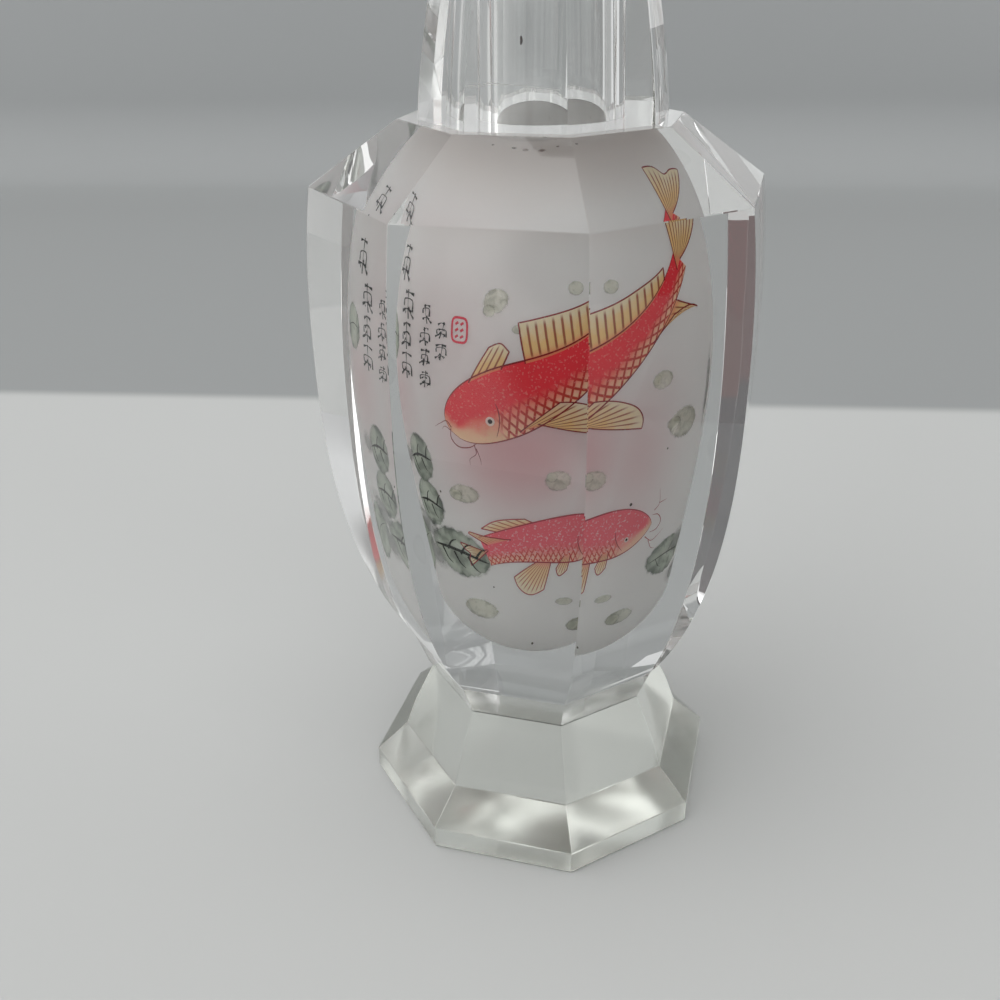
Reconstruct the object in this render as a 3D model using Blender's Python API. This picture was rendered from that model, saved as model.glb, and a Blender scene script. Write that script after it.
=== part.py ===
"""Octagonal cut-glass vase of three pieces cemented end to end: neck, hollow body and foot.

Units are metres and +Z is up. The origin is the centre of the foot's underside, and the flats of the
octagon face +X, -X, +Y and -Y. Radii of the octagonal pieces are measured to their corners.
"""

import math

import bmesh
import bpy
from mathutils import Vector

SIDES = 8
JOINT_GAP = 0.0003
TOTAL_HEIGHT = 0.200

# Foot: a square-edged base, a long slope, a steeper collar and a flare up to the body.
FOOT_BASE_RADIUS = 0.0379
FOOT_EDGE_HEIGHT = 0.0050
FOOT_SLOPE_TOP_RADIUS = 0.03095
FOOT_SLOPE_TOP_HEIGHT = 0.0116
FOOT_COLLAR_TOP_RADIUS = 0.0287
FOOT_COLLAR_TOP_HEIGHT = 0.0180
FOOT_TOP_RADIUS = 0.02435
FOOT_HEIGHT = 0.0268

# Body: a chamfered bottom, a long bellied side and a sloped shoulder up to a small flat top.
BODY_BOTTOM_HEIGHT = FOOT_HEIGHT + JOINT_GAP
BODY_BOTTOM_RADIUS = 0.0245
CHAMFER_TOP_HEIGHT = 0.0344
SHOULDER_HEIGHT = 0.1304
BODY_TOP_HEIGHT = 0.1412
BODY_TOP_RADIUS = 0.0250
BELLY_RADIUS = 0.0427
BELLY_HEIGHT = 0.1000
BELLY_HALF_LENGTH = 0.0818
BELLY_POWER = 2.4
SIDE_STEPS = 24
# Each flat's share of its regular distance from the axis, counter-clockwise from the +X flat. The second, at
# the back, is ground a little deeper than the rest, and the fifth, on the left, a little less deep.
BODY_FLAT_SHARES = (1.0, 0.948, 1.0, 1.0, 1.05, 1.0, 1.0, 1.0)

# Cavity: a turned ovoid with a round bottom, which closes in to the mouth under the neck.
BORE_RADIUS = 0.0100
CAVITY_RADIUS = 0.0234
CAVITY_WIDEST_HEIGHT = 0.1010
CAVITY_CROWN = 0.0330
CAVITY_BOWL_HEIGHT = 0.0570
CAVITY_BOWL_RADIUS = 0.0173
CAVITY_BOWL_SLOPE = 0.16
CAVITY_BOTTOM_HEIGHT = 0.0447
CAVITY_SIDES = 48
CAVITY_BOWL_STEPS = 8
CAVITY_WALL_STEPS = 12
CAVITY_CROWN_STEPS = 10

# Neck: an octagonal tube that narrows to a waist and flares to a plain rim.
NECK_BOTTOM_HEIGHT = BODY_TOP_HEIGHT + JOINT_GAP
NECK_BOTTOM_RADIUS = 0.02206
NECK_BOTTOM_SLOPE = -0.06
WAIST_HEIGHT = 0.1815
WAIST_RADIUS = 0.0169
RIM_RADIUS = 0.0218
RIM_BAND_HEIGHT = 0.0030
WAIST_STEPS = 10
FLARE_STEPS = 10
BORE_MOUTH_RADIUS = 0.0150
BORE_FLARE_START = 0.1860
BORE_FLARE_STEPS = 8
CUT_MARGIN = 0.0020

SHARP_ANGLE = math.radians(20)


def clear_scene():
    """Removes every object that the scene starts with."""
    for obj in list(bpy.data.objects):
        bpy.data.objects.remove(obj, do_unlink=True)


def hermite(start, end, start_slope, end_slope, length, t):
    """A cubic from start to end over the given length, with a slope at each end; t runs from 0 to 1."""
    rise = 3 * t**2 - 2 * t**3
    leave = (t**3 - 2 * t**2 + t) * length
    arrive = (t**3 - t**2) * length
    return start + (end - start) * rise + start_slope * leave + end_slope * arrive


def foot_profile():
    """(radius, height) of the foot's corners, from the underside up."""
    return [
        (FOOT_BASE_RADIUS, 0.0),
        (FOOT_BASE_RADIUS, FOOT_EDGE_HEIGHT),
        (FOOT_SLOPE_TOP_RADIUS, FOOT_SLOPE_TOP_HEIGHT),
        (FOOT_COLLAR_TOP_RADIUS, FOOT_COLLAR_TOP_HEIGHT),
        (FOOT_TOP_RADIUS, FOOT_HEIGHT),
    ]


def body_profile():
    """(radius, height) of the body's corners: chamfer, a belly, then the shoulder.

    The belly's radius is its widest times sqrt(1 - reach^power), where reach runs from 0 at its widest height to
    1 a half length away. A power of 2 would be an ellipse, and a higher one is fuller.
    """
    profile = [(BODY_BOTTOM_RADIUS, BODY_BOTTOM_HEIGHT)]
    for step in range(SIDE_STEPS + 1):
        height = CHAMFER_TOP_HEIGHT + (SHOULDER_HEIGHT - CHAMFER_TOP_HEIGHT) * step / SIDE_STEPS
        reach = abs(height - BELLY_HEIGHT) / BELLY_HALF_LENGTH
        profile.append((BELLY_RADIUS * math.sqrt(1 - reach**BELLY_POWER), height))
    profile.append((BODY_TOP_RADIUS, BODY_TOP_HEIGHT))
    return profile


def neck_profile():
    """(radius, height) of the neck's corners: in to the waist, out to the rim, and a plain upright band."""
    taper = WAIST_HEIGHT - NECK_BOTTOM_HEIGHT
    flare_top = TOTAL_HEIGHT - RIM_BAND_HEIGHT
    profile = []
    for step in range(WAIST_STEPS + 1):
        t = step / WAIST_STEPS
        radius = hermite(NECK_BOTTOM_RADIUS, WAIST_RADIUS, NECK_BOTTOM_SLOPE, 0.0, taper, t)
        profile.append((radius, NECK_BOTTOM_HEIGHT + taper * t))
    for step in range(1, FLARE_STEPS + 1):
        t = step / FLARE_STEPS
        radius = WAIST_RADIUS + (RIM_RADIUS - WAIST_RADIUS) * t**2
        profile.append((radius, WAIST_HEIGHT + (flare_top - WAIST_HEIGHT) * t))
    profile.append((RIM_RADIUS, TOTAL_HEIGHT))
    return profile


def cavity_profile():
    """(radius, height) of the cavity from just above its bottom centre up to the mouth and past the top."""
    profile = []
    for step in range(1, CAVITY_BOWL_STEPS + 1):
        angle = math.pi / 2 * step / CAVITY_BOWL_STEPS
        depth = (CAVITY_BOWL_HEIGHT - CAVITY_BOTTOM_HEIGHT) * math.cos(angle)
        taper = CAVITY_BOWL_RADIUS - CAVITY_BOWL_SLOPE * depth
        profile.append((taper * math.sin(angle), CAVITY_BOWL_HEIGHT - depth))
    wall = CAVITY_WIDEST_HEIGHT - CAVITY_BOWL_HEIGHT
    for step in range(1, CAVITY_WALL_STEPS + 1):
        t = step / CAVITY_WALL_STEPS
        radius = hermite(CAVITY_BOWL_RADIUS, CAVITY_RADIUS, CAVITY_BOWL_SLOPE, 0.0, wall, t)
        profile.append((radius, CAVITY_BOWL_HEIGHT + wall * t))
    for step in range(1, CAVITY_CROWN_STEPS + 1):
        angle = math.pi / 2 * step / CAVITY_CROWN_STEPS
        radius = BORE_RADIUS + (CAVITY_RADIUS - BORE_RADIUS) * math.cos(angle)
        profile.append((radius, CAVITY_WIDEST_HEIGHT + CAVITY_CROWN * math.sin(angle)))
    profile.append((BORE_RADIUS, BODY_TOP_HEIGHT + CUT_MARGIN))
    return profile


def bore_profile():
    """(radius, height) of the neck's bore: straight, then opening a little at the rim."""
    flare = TOTAL_HEIGHT - BORE_FLARE_START
    profile = [(BORE_RADIUS, NECK_BOTTOM_HEIGHT - CUT_MARGIN)]
    for step in range(BORE_FLARE_STEPS + 1):
        t = step / BORE_FLARE_STEPS
        radius = BORE_RADIUS + (BORE_MOUTH_RADIUS - BORE_RADIUS) * t**2
        profile.append((radius, BORE_FLARE_START + flare * t))
    profile.append((BORE_MOUTH_RADIUS, TOTAL_HEIGHT + CUT_MARGIN))
    return profile


def unit_corners(shares):
    """Corners, counter-clockwise from above, of a polygon that is regular where every share is 1.

    Each flat's line keeps its heading and stands at its share of the regular distance, and a corner is where
    two neighbouring lines meet.
    """
    half_flat = math.pi / len(shares)
    corners = []
    for side, share in enumerate(shares):
        following = shares[(side + 1) % len(shares)]
        turn = 2 * half_flat * side
        along = (following - share * math.cos(2 * half_flat)) / math.sin(2 * half_flat)
        out = Vector((math.cos(turn), math.sin(turn)))
        onward = Vector((-math.sin(turn), math.cos(turn)))
        corners.append((out * share + onward * along) * math.cos(half_flat))
    return corners


def lofted_mesh(name, profile, shares, bottom_pole=None):
    """A closed mesh through one ring for each profile point, capped flat or, below, by a pole point."""
    sides = len(shares)
    corners = unit_corners(shares)
    mesh_builder = bmesh.new()
    rings = []
    for radius, height in profile:
        rings.append([mesh_builder.verts.new((radius * c.x, radius * c.y, height)) for c in corners])
    for lower, upper in zip(rings, rings[1:]):
        for side in range(sides):
            following = (side + 1) % sides
            corners = (lower[side], lower[following], upper[following], upper[side])
            mesh_builder.faces.new(corners)
    if bottom_pole is None:
        mesh_builder.faces.new(reversed(rings[0]))
    else:
        pole = mesh_builder.verts.new(Vector((0.0, 0.0, bottom_pole)))
        for side in range(sides):
            mesh_builder.faces.new((rings[0][(side + 1) % sides], rings[0][side], pole))
    mesh_builder.faces.new(rings[-1])
    mesh = bpy.data.meshes.new(name)
    mesh_builder.to_mesh(mesh)
    mesh_builder.free()
    mesh.shade_smooth()
    mesh.set_sharp_from_angle(angle=SHARP_ANGLE)
    return mesh


def glass_material(name, colour, roughness, transmission):
    """A Principled glass of the given tint."""
    material = bpy.data.materials.new(name)
    material.use_nodes = True
    shader = material.node_tree.nodes["Principled BSDF"]
    shader.inputs["Base Color"].default_value = (*colour, 1.0)
    shader.inputs["Roughness"].default_value = roughness
    shader.inputs["Metallic"].default_value = 0.0
    shader.inputs["Transmission Weight"].default_value = transmission
    return material


def add_object(name, mesh, material=None):
    """Puts the mesh into the scene as a named object."""
    obj = bpy.data.objects.new(name, mesh)
    bpy.context.scene.collection.objects.link(obj)
    if material is not None:
        mesh.materials.append(material)
    return obj


def add_octagon_piece(name, profile, material, shares=(1.0,) * SIDES):
    """An octagonal piece with flats square to X and Y."""
    mesh = lofted_mesh(name, profile, shares)
    return add_object(name, mesh, material)


def cut_hollow(piece, name, profile, bottom_pole=None):
    """Cuts a turned hollow out of the piece, with the cutter kept as a hidden wire shape."""
    mesh = lofted_mesh(name, profile, (1.0,) * CAVITY_SIDES, bottom_pole)
    cutter = add_object(name, mesh)
    cutter.hide_render = True
    cutter.display_type = "WIRE"
    cut = piece.modifiers.new("hollow", "BOOLEAN")
    cut.operation = "DIFFERENCE"
    cut.solver = "EXACT"
    cut.object = cutter


def add_foot():
    """The solid flared foot, of slightly greenish glass."""
    material = glass_material("green_tinted_glass", (0.86, 0.90, 0.87), 0.02, 1.0)
    return add_octagon_piece("foot", foot_profile(), material)


def add_body():
    """The thick-walled body with its ovoid cavity, open at the top."""
    material = glass_material("clear_glass", (0.95, 0.96, 0.96), 0.01, 1.0)
    body = add_octagon_piece("body", body_profile(), material, BODY_FLAT_SHARES)
    cut_hollow(body, "cavity_cutter", cavity_profile(), CAVITY_BOTTOM_HEIGHT)
    return body


def add_neck():
    """The neck with its round bore, open at both ends."""
    material = glass_material("neck_glass", (0.95, 0.96, 0.96), 0.01, 1.0)
    neck = add_octagon_piece("neck", neck_profile(), material)
    cut_hollow(neck, "bore_cutter", bore_profile())
    return neck


def main():
    clear_scene()
    add_foot()
    add_body()
    add_neck()


main()
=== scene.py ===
"""Dresses the inside-painted octagonal glass vase in a plain pale studio.

The neck, body and foot become clear cut glass that really bends light, and the cavity wall gets its frosted
coat and the pond painted on it: two carp, leaves, duckweed, columns of brush marks and a red seal.

Units are metres and +Z is up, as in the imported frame. A place on the painted wall is a turn in degrees from
the front flat (-Y) towards +X, and a height in millimetres above the underside.
"""

from __future__ import annotations

import logging
import math
from collections.abc import Sequence
from dataclasses import dataclass, field
from enum import Enum
from typing import Any

import bpy
import numpy as np
from mathutils import Matrix, Vector

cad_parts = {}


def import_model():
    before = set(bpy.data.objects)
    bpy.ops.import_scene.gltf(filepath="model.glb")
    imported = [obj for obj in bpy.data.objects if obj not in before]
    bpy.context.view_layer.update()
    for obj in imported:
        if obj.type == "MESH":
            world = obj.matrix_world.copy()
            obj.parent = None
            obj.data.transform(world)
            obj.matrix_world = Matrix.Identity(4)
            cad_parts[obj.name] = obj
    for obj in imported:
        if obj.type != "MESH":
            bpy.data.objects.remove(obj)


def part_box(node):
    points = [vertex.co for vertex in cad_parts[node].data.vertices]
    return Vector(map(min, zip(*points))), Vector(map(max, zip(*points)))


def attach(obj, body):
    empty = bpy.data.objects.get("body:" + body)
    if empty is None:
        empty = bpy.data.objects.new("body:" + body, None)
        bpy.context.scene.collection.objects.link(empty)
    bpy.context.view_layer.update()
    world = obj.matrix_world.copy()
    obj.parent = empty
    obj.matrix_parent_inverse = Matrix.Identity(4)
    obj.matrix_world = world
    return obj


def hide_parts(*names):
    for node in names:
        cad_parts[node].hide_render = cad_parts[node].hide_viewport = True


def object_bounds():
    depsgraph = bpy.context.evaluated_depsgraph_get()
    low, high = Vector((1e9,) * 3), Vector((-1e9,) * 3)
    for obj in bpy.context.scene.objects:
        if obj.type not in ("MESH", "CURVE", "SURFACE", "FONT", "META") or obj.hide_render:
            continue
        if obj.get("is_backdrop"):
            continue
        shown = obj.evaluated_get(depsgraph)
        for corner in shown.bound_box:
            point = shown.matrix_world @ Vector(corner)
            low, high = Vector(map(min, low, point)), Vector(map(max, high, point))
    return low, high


LOG = logging.getLogger("vase")

MM = 0.001

Place = tuple[float, float]
Colour = tuple[float, float, float]

# The cut glass: its flats, the columns of points across each, and the narrow arris where two surfaces meet,
# as a share of a flat and as a length. A turn in the outline of more than SHARP is an edge.
FLATS = 8
HALF_FLAT = math.pi / FLATS
COLUMNS_PER_FLAT = 24
ARRIS_SHARE = 0.003
ARRIS = 0.12 * MM
SHARP = math.radians(10)

# Half the gap that the cement fills at each joint, and the radius of a ring that is almost a point.
CEMENT_REACH = 0.15 * MM
HAIR = 1e-6

# Paint: the share of light that goes through an even coat, the span that a disc's radii are divided by to
# get its flat places, and how far past its own edge a patch's surface goes.
EVEN_SHARE = 0.5
DISC_SPAN = 2.4
PATCH_REACH = 1.18
EYE_WHITE = (0.85, 0.82, 0.76)
EYE_BLACK = (0.012, 0.010, 0.010)
SPECK_BROWN = (0.10, 0.08, 0.07)

# The dimmest grey of the room.
DUSK = (0.15, 0.149, 0.152)


# --- Shader maths ---------------------------------------------------------------------------------


class Value:
    """A number that varies over a surface. A sum or product of two of them adds the Math node it needs."""

    def __init__(self, recipe: Recipe, socket: bpy.types.NodeSocket) -> None:
        """Wraps one output socket of the recipe."""
        self.recipe = recipe
        self.socket = socket

    def math(self, operation: str, *terms: Value | float) -> Value:
        """Adds one Math node over the given terms.

        Args:
            operation: The Math node's operation.
            terms: Its inputs, in order.

        Returns:
            The node's result.
        """
        made = self.recipe.node("ShaderNodeMath", {"operation": operation}, dict(enumerate(terms)))
        return Value(self.recipe, made.outputs[0])

    def __add__(self, other: Value | float) -> Value:
        """self + other."""
        return self.math("ADD", self, other)

    __radd__ = __add__

    def __sub__(self, other: Value | float) -> Value:
        """self - other."""
        return self.math("SUBTRACT", self, other)

    def __rsub__(self, other: Value | float) -> Value:
        """other - self."""
        return self.math("SUBTRACT", other, self)

    def __mul__(self, other: Value | float) -> Value:
        """self * other."""
        return self.math("MULTIPLY", self, other)

    __rmul__ = __mul__

    def __truediv__(self, other: Value | float) -> Value:
        """self / other."""
        return self.math("DIVIDE", self, other)

    def __rtruediv__(self, other: Value | float) -> Value:
        """other / self."""
        return self.math("DIVIDE", other, self)

    def __pow__(self, other: Value | float) -> Value:
        """self ** other."""
        return self.math("POWER", self, other)

    def __or__(self, other: Value | float) -> Value:
        """The larger of the two."""
        return self.math("MAXIMUM", self, other)

    def rise(self, low: float, high: float) -> Value:
        """A smooth step: 0 where this is at low, 1 where it is at high. The two may be in either order.

        Args:
            low: Where the step starts.
            high: Where it ends; it may be the lower of the two.

        Returns:
            The step.
        """
        made = self.recipe.node(
            "ShaderNodeMapRange",
            {"interpolation_type": "SMOOTHSTEP"},
            {"Value": self, "From Min": low, "From Max": high},
        )
        return Value(self.recipe, made.outputs["Result"])

    def stripe(self, width: float) -> Value:
        """1 along thin lines where this passes a whole number, and 0 between; width is the line's share."""
        away = self.math("PINGPONG", self, 0.5)
        return away.rise(width, width * 0.4)


class Recipe:
    """Builds the nodes of one material or of the surround."""

    def __init__(self, owner: bpy.types.Material | bpy.types.World) -> None:
        """Starts an empty tree in a new material or world.

        Args:
            owner: What the tree belongs to.
        """
        owner.use_nodes = True
        self.owner = owner
        self.tree = owner.node_tree
        self.tree.nodes.clear()
        self.places: bpy.types.Node | None = None

    @staticmethod
    def material(name: str) -> Recipe:
        """Starts a new material of that name."""
        return Recipe(bpy.data.materials.new(name))

    def feed(self, socket: bpy.types.NodeSocket, value: Any) -> None:
        """Links a Value or a socket into a socket, or sets a plain number, vector or colour on it.

        Args:
            socket: The input to fill.
            value: What it takes.
        """
        if isinstance(value, Value):
            self.tree.links.new(value.socket, socket)
        elif isinstance(value, bpy.types.NodeSocket):
            self.tree.links.new(value, socket)
        elif socket.type == "RGBA":
            socket.default_value = (*value, 1.0)
        else:
            socket.default_value = value

    def node(self, kind: str, settings: dict[str, Any], inputs: dict[Any, Any]) -> bpy.types.Node:
        """Adds a node.

        Args:
            kind: The node's type.
            settings: Its own settings, which are set first.
            inputs: Values or links of its sockets, by name or number.

        Returns:
            The new node.
        """
        made = self.tree.nodes.new(kind)
        for name, value in settings.items():
            setattr(made, name, value)
        for key, value in inputs.items():
            self.feed(made.inputs[key], value)
        return made

    def coordinate(self, name: str) -> bpy.types.NodeSocket:
        """One output of the Texture Coordinate node.

        Args:
            name: The output's name.

        Returns:
            The output.
        """
        if self.places is None:
            self.places = self.node("ShaderNodeTexCoord", {}, {})
        return self.places.outputs[name]

    def parts(self, name: str) -> tuple[Value, Value, Value]:
        """The three numbers of the Object or UV coordinate."""
        made = self.node("ShaderNodeSeparateXYZ", {}, {0: self.coordinate(name)})
        return tuple(Value(self, socket) for socket in made.outputs)

    def noise(self, scale: float, detail: float = 2.0, distortion: float = 0.0) -> Value:
        """Cloudy noise from 0 to 1 on Object coordinates, with about scale features to a metre.

        Args:
            scale: How many features a metre holds.
            detail: How many finer octaves it has.
            distortion: How far it swirls.

        Returns:
            The noise.
        """
        made = self.node(
            "ShaderNodeTexNoise",
            {},
            {
                "Vector": self.coordinate("Object"),
                "Scale": scale,
                "Detail": detail,
                "Distortion": distortion,
            },
        )
        return Value(self, made.outputs[0])

    def blend(self, share: Value | float, first: Any, second: Any) -> bpy.types.NodeSocket:
        """The first colour turning into the second as share goes from 0 to 1."""
        made = self.node("ShaderNodeMix", {"data_type": "RGBA"}, {0: share, 6: first, 7: second})
        return made.outputs[2]

    def finish(self, shader: bpy.types.Node) -> bpy.types.Material:
        """Sends a shader node to the output and returns the material."""
        self.node("ShaderNodeOutputMaterial", {}, {"Surface": shader.outputs[0]})
        return self.owner

    def thin_paint(
        self, colour: Any, cover: Value | float = 1.0, through: float = EVEN_SHARE
    ) -> bpy.types.Material:
        """A coat that scatters its light both back and through, and covers a share of the wall.

        Args:
            colour: The coat's colour, plain or worked out.
            cover: 1 where the coat is, 0 where there is none.
            through: The share of its light that goes through.

        Returns:
            The material.
        """
        back = self.node("ShaderNodeBsdfDiffuse", {}, {"Color": colour})
        ahead = self.node("ShaderNodeBsdfTranslucent", {}, {"Color": colour})
        coat = self.node("ShaderNodeMixShader", {}, {0: through, 1: back.outputs[0], 2: ahead.outputs[0]})
        if isinstance(cover, float) and cover >= 1.0:
            return self.finish(coat)
        bare = self.node("ShaderNodeBsdfTransparent", {}, {})
        seen = self.node("ShaderNodeMixShader", {}, {0: cover, 1: bare.outputs[0], 2: coat.outputs[0]})
        return self.finish(seen)


# --- Meshes ---------------------------------------------------------------------------------------


@dataclass
class Sheet:
    """Points and four-sided faces of one surface, with a flat place (its UV) for each point."""

    points: np.ndarray
    quads: np.ndarray
    flat: np.ndarray

    @staticmethod
    def of_grid(points: np.ndarray, flat: np.ndarray, closed: bool = False) -> Sheet:
        """Joins a grid of points, rows by columns, into faces.

        Args:
            points: An array of rows x columns x 3.
            flat: An array of rows x columns x 2.
            closed: True if the last column meets the first.

        Returns:
            The surface.
        """
        rows, columns = points.shape[:2]
        return Sheet(points.reshape(-1, 3), grid_quads(rows, columns, closed), flat.reshape(-1, 2))

    @staticmethod
    def joined(sheets: Sequence[Sheet]) -> Sheet:
        """One surface of several.

        Args:
            sheets: The surfaces to join.

        Returns:
            One surface whose faces follow in the same order.
        """
        starts = np.cumsum([0] + [len(sheet.points) for sheet in sheets[:-1]])
        quads = [sheet.quads + start for sheet, start in zip(sheets, starts)]
        points = np.concatenate([sheet.points for sheet in sheets])
        flat = np.concatenate([sheet.flat for sheet in sheets])
        return Sheet(points, np.concatenate(quads), flat)

    def make(self, name: str, material: bpy.types.Material) -> bpy.types.Object:
        """Makes the object, smooth shaded.

        Args:
            name: The piece's name.
            material: What it is painted with.

        Returns:
            The piece.
        """
        mesh = bpy.data.meshes.new(name)
        mesh.from_pydata(self.points.tolist(), [], self.quads.tolist())
        layer = mesh.uv_layers.new(name="sheet")
        corners = np.empty(len(mesh.loops), np.int32)
        mesh.loops.foreach_get("vertex_index", corners)
        layer.data.foreach_set("uv", self.flat[corners].astype(np.float32).ravel())
        mesh.shade_smooth()
        return add_object(name, mesh, material)


def grid_quads(rows: int, columns: int, closed: bool) -> np.ndarray:
    """Faces of a grid: each joins a point, the next along its row, and the two in the row above.

    Args:
        rows: How many rows the grid has.
        columns: How many points a row has.
        closed: True if the last column meets the first.

    Returns:
        Rows of four point numbers.
    """
    along = np.arange(columns if closed else columns - 1)
    following = (along + 1) % columns
    low = np.arange(rows - 1)[:, None] * columns
    high = low + columns
    return np.stack([low + along, low + following, high + following, high + along], -1).reshape(-1, 4)


def add_object(name: str, mesh: bpy.types.Mesh, material: bpy.types.Material) -> bpy.types.Object:
    """Puts a mesh into the scene with its material.

    Args:
        name: The object's name.
        mesh: Its mesh.
        material: Its only material.

    Returns:
        The object.
    """
    mesh.materials.append(material)
    made = bpy.data.objects.new(name, mesh)
    bpy.context.scene.collection.objects.link(made)
    return made


def hermite(start: float, end: float, leave: float, length: float, t: np.ndarray) -> np.ndarray:
    """A cubic from start to end over a length, which leaves at a slope and arrives level; t is 0 to 1."""
    return start + (end - start) * (3 * t**2 - 2 * t**3) + length * leave * (t**3 - 2 * t**2 + t)


def smooth_path(places: np.ndarray, steps: int) -> np.ndarray:
    """A Catmull-Rom curve through the given places, with so many steps between each two.

    Args:
        places: An array of places, one to a row.
        steps: How many steps lie between two places.

    Returns:
        Points of the curve, one to a row.
    """
    ends = np.vstack([2 * places[0] - places[1], places, 2 * places[-1] - places[-2]])
    before, start, end, after = (ends[i : len(ends) - 3 + i, None] for i in range(4))
    t = (np.arange(steps) / steps)[None, :, None]
    curve = 0.5 * (
        2 * start
        + (end - before) * t
        + (2 * before - 5 * start + 4 * end - after) * t**2
        + (3 * start - before - 3 * end + after) * t**3
    )
    return np.vstack([curve.reshape(-1, places.shape[1]), places[-1]])


def disc(reach: float, rings: int, spokes: int) -> np.ndarray:
    """Places on a disc of radius 1, carried out to a reach: share * (cos angle, sin angle).

    Args:
        reach: The share of the radius where the outermost ring lies.
        rings: How many rings there are, the first almost at the middle.
        spokes: How many places a ring has.

    Returns:
        An array of rings x spokes x 2, from the middle outwards.
    """
    share = np.linspace(1e-3, reach, rings)[:, None]
    angle = np.linspace(0, 2 * np.pi, spokes, endpoint=False)[None]
    return np.stack([share * np.cos(angle), share * np.sin(angle)], -1)


def normals_of(path: np.ndarray) -> np.ndarray:
    """The direction a quarter turn left of a flat path, at each of its points.

    Args:
        path: Points of the path, one to a row.

    Returns:
        A unit vector for each point.
    """
    along = np.gradient(path, axis=0)
    along /= np.linalg.norm(along, axis=1, keepdims=True) + 1e-12
    return np.stack([-along[:, 1], along[:, 0]], -1)


# --- Cut glass ------------------------------------------------------------------------------------


@dataclass(frozen=True)
class Crystal:
    """The glass of one melt: its name, tint, roughness and index of refraction."""

    name: str
    tint: Colour
    roughness: float
    index: float = 1.52

    def material(self) -> bpy.types.Material:
        """A see-through Principled glass with plain values.

        Returns:
            The glass.
        """
        recipe = Recipe.material(self.name)
        glass = recipe.node(
            "ShaderNodeBsdfPrincipled",
            {},
            {
                "Base Color": self.tint,
                "Roughness": self.roughness,
                "IOR": self.index,
                "Transmission Weight": 1.0,
            },
        )
        return recipe.finish(glass)


CLEAR_CRYSTAL = Crystal("clear_crystal", (0.97, 0.975, 0.97), 0.0)
GREEN_CRYSTAL = Crystal("green_crystal", (0.81, 0.832, 0.775), 0.14)


class Cut(Enum):
    """How a stretch of the outline goes round the axis."""

    FLATS = 1.0
    ROUND = 0.0


@dataclass(frozen=True)
class Stretch:
    """Part of an outline: corner radii and heights in metres, and whether it is one smooth curve."""

    radius: np.ndarray
    height: np.ndarray
    cut: Cut = Cut.FLATS
    smooth: bool = False


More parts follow.
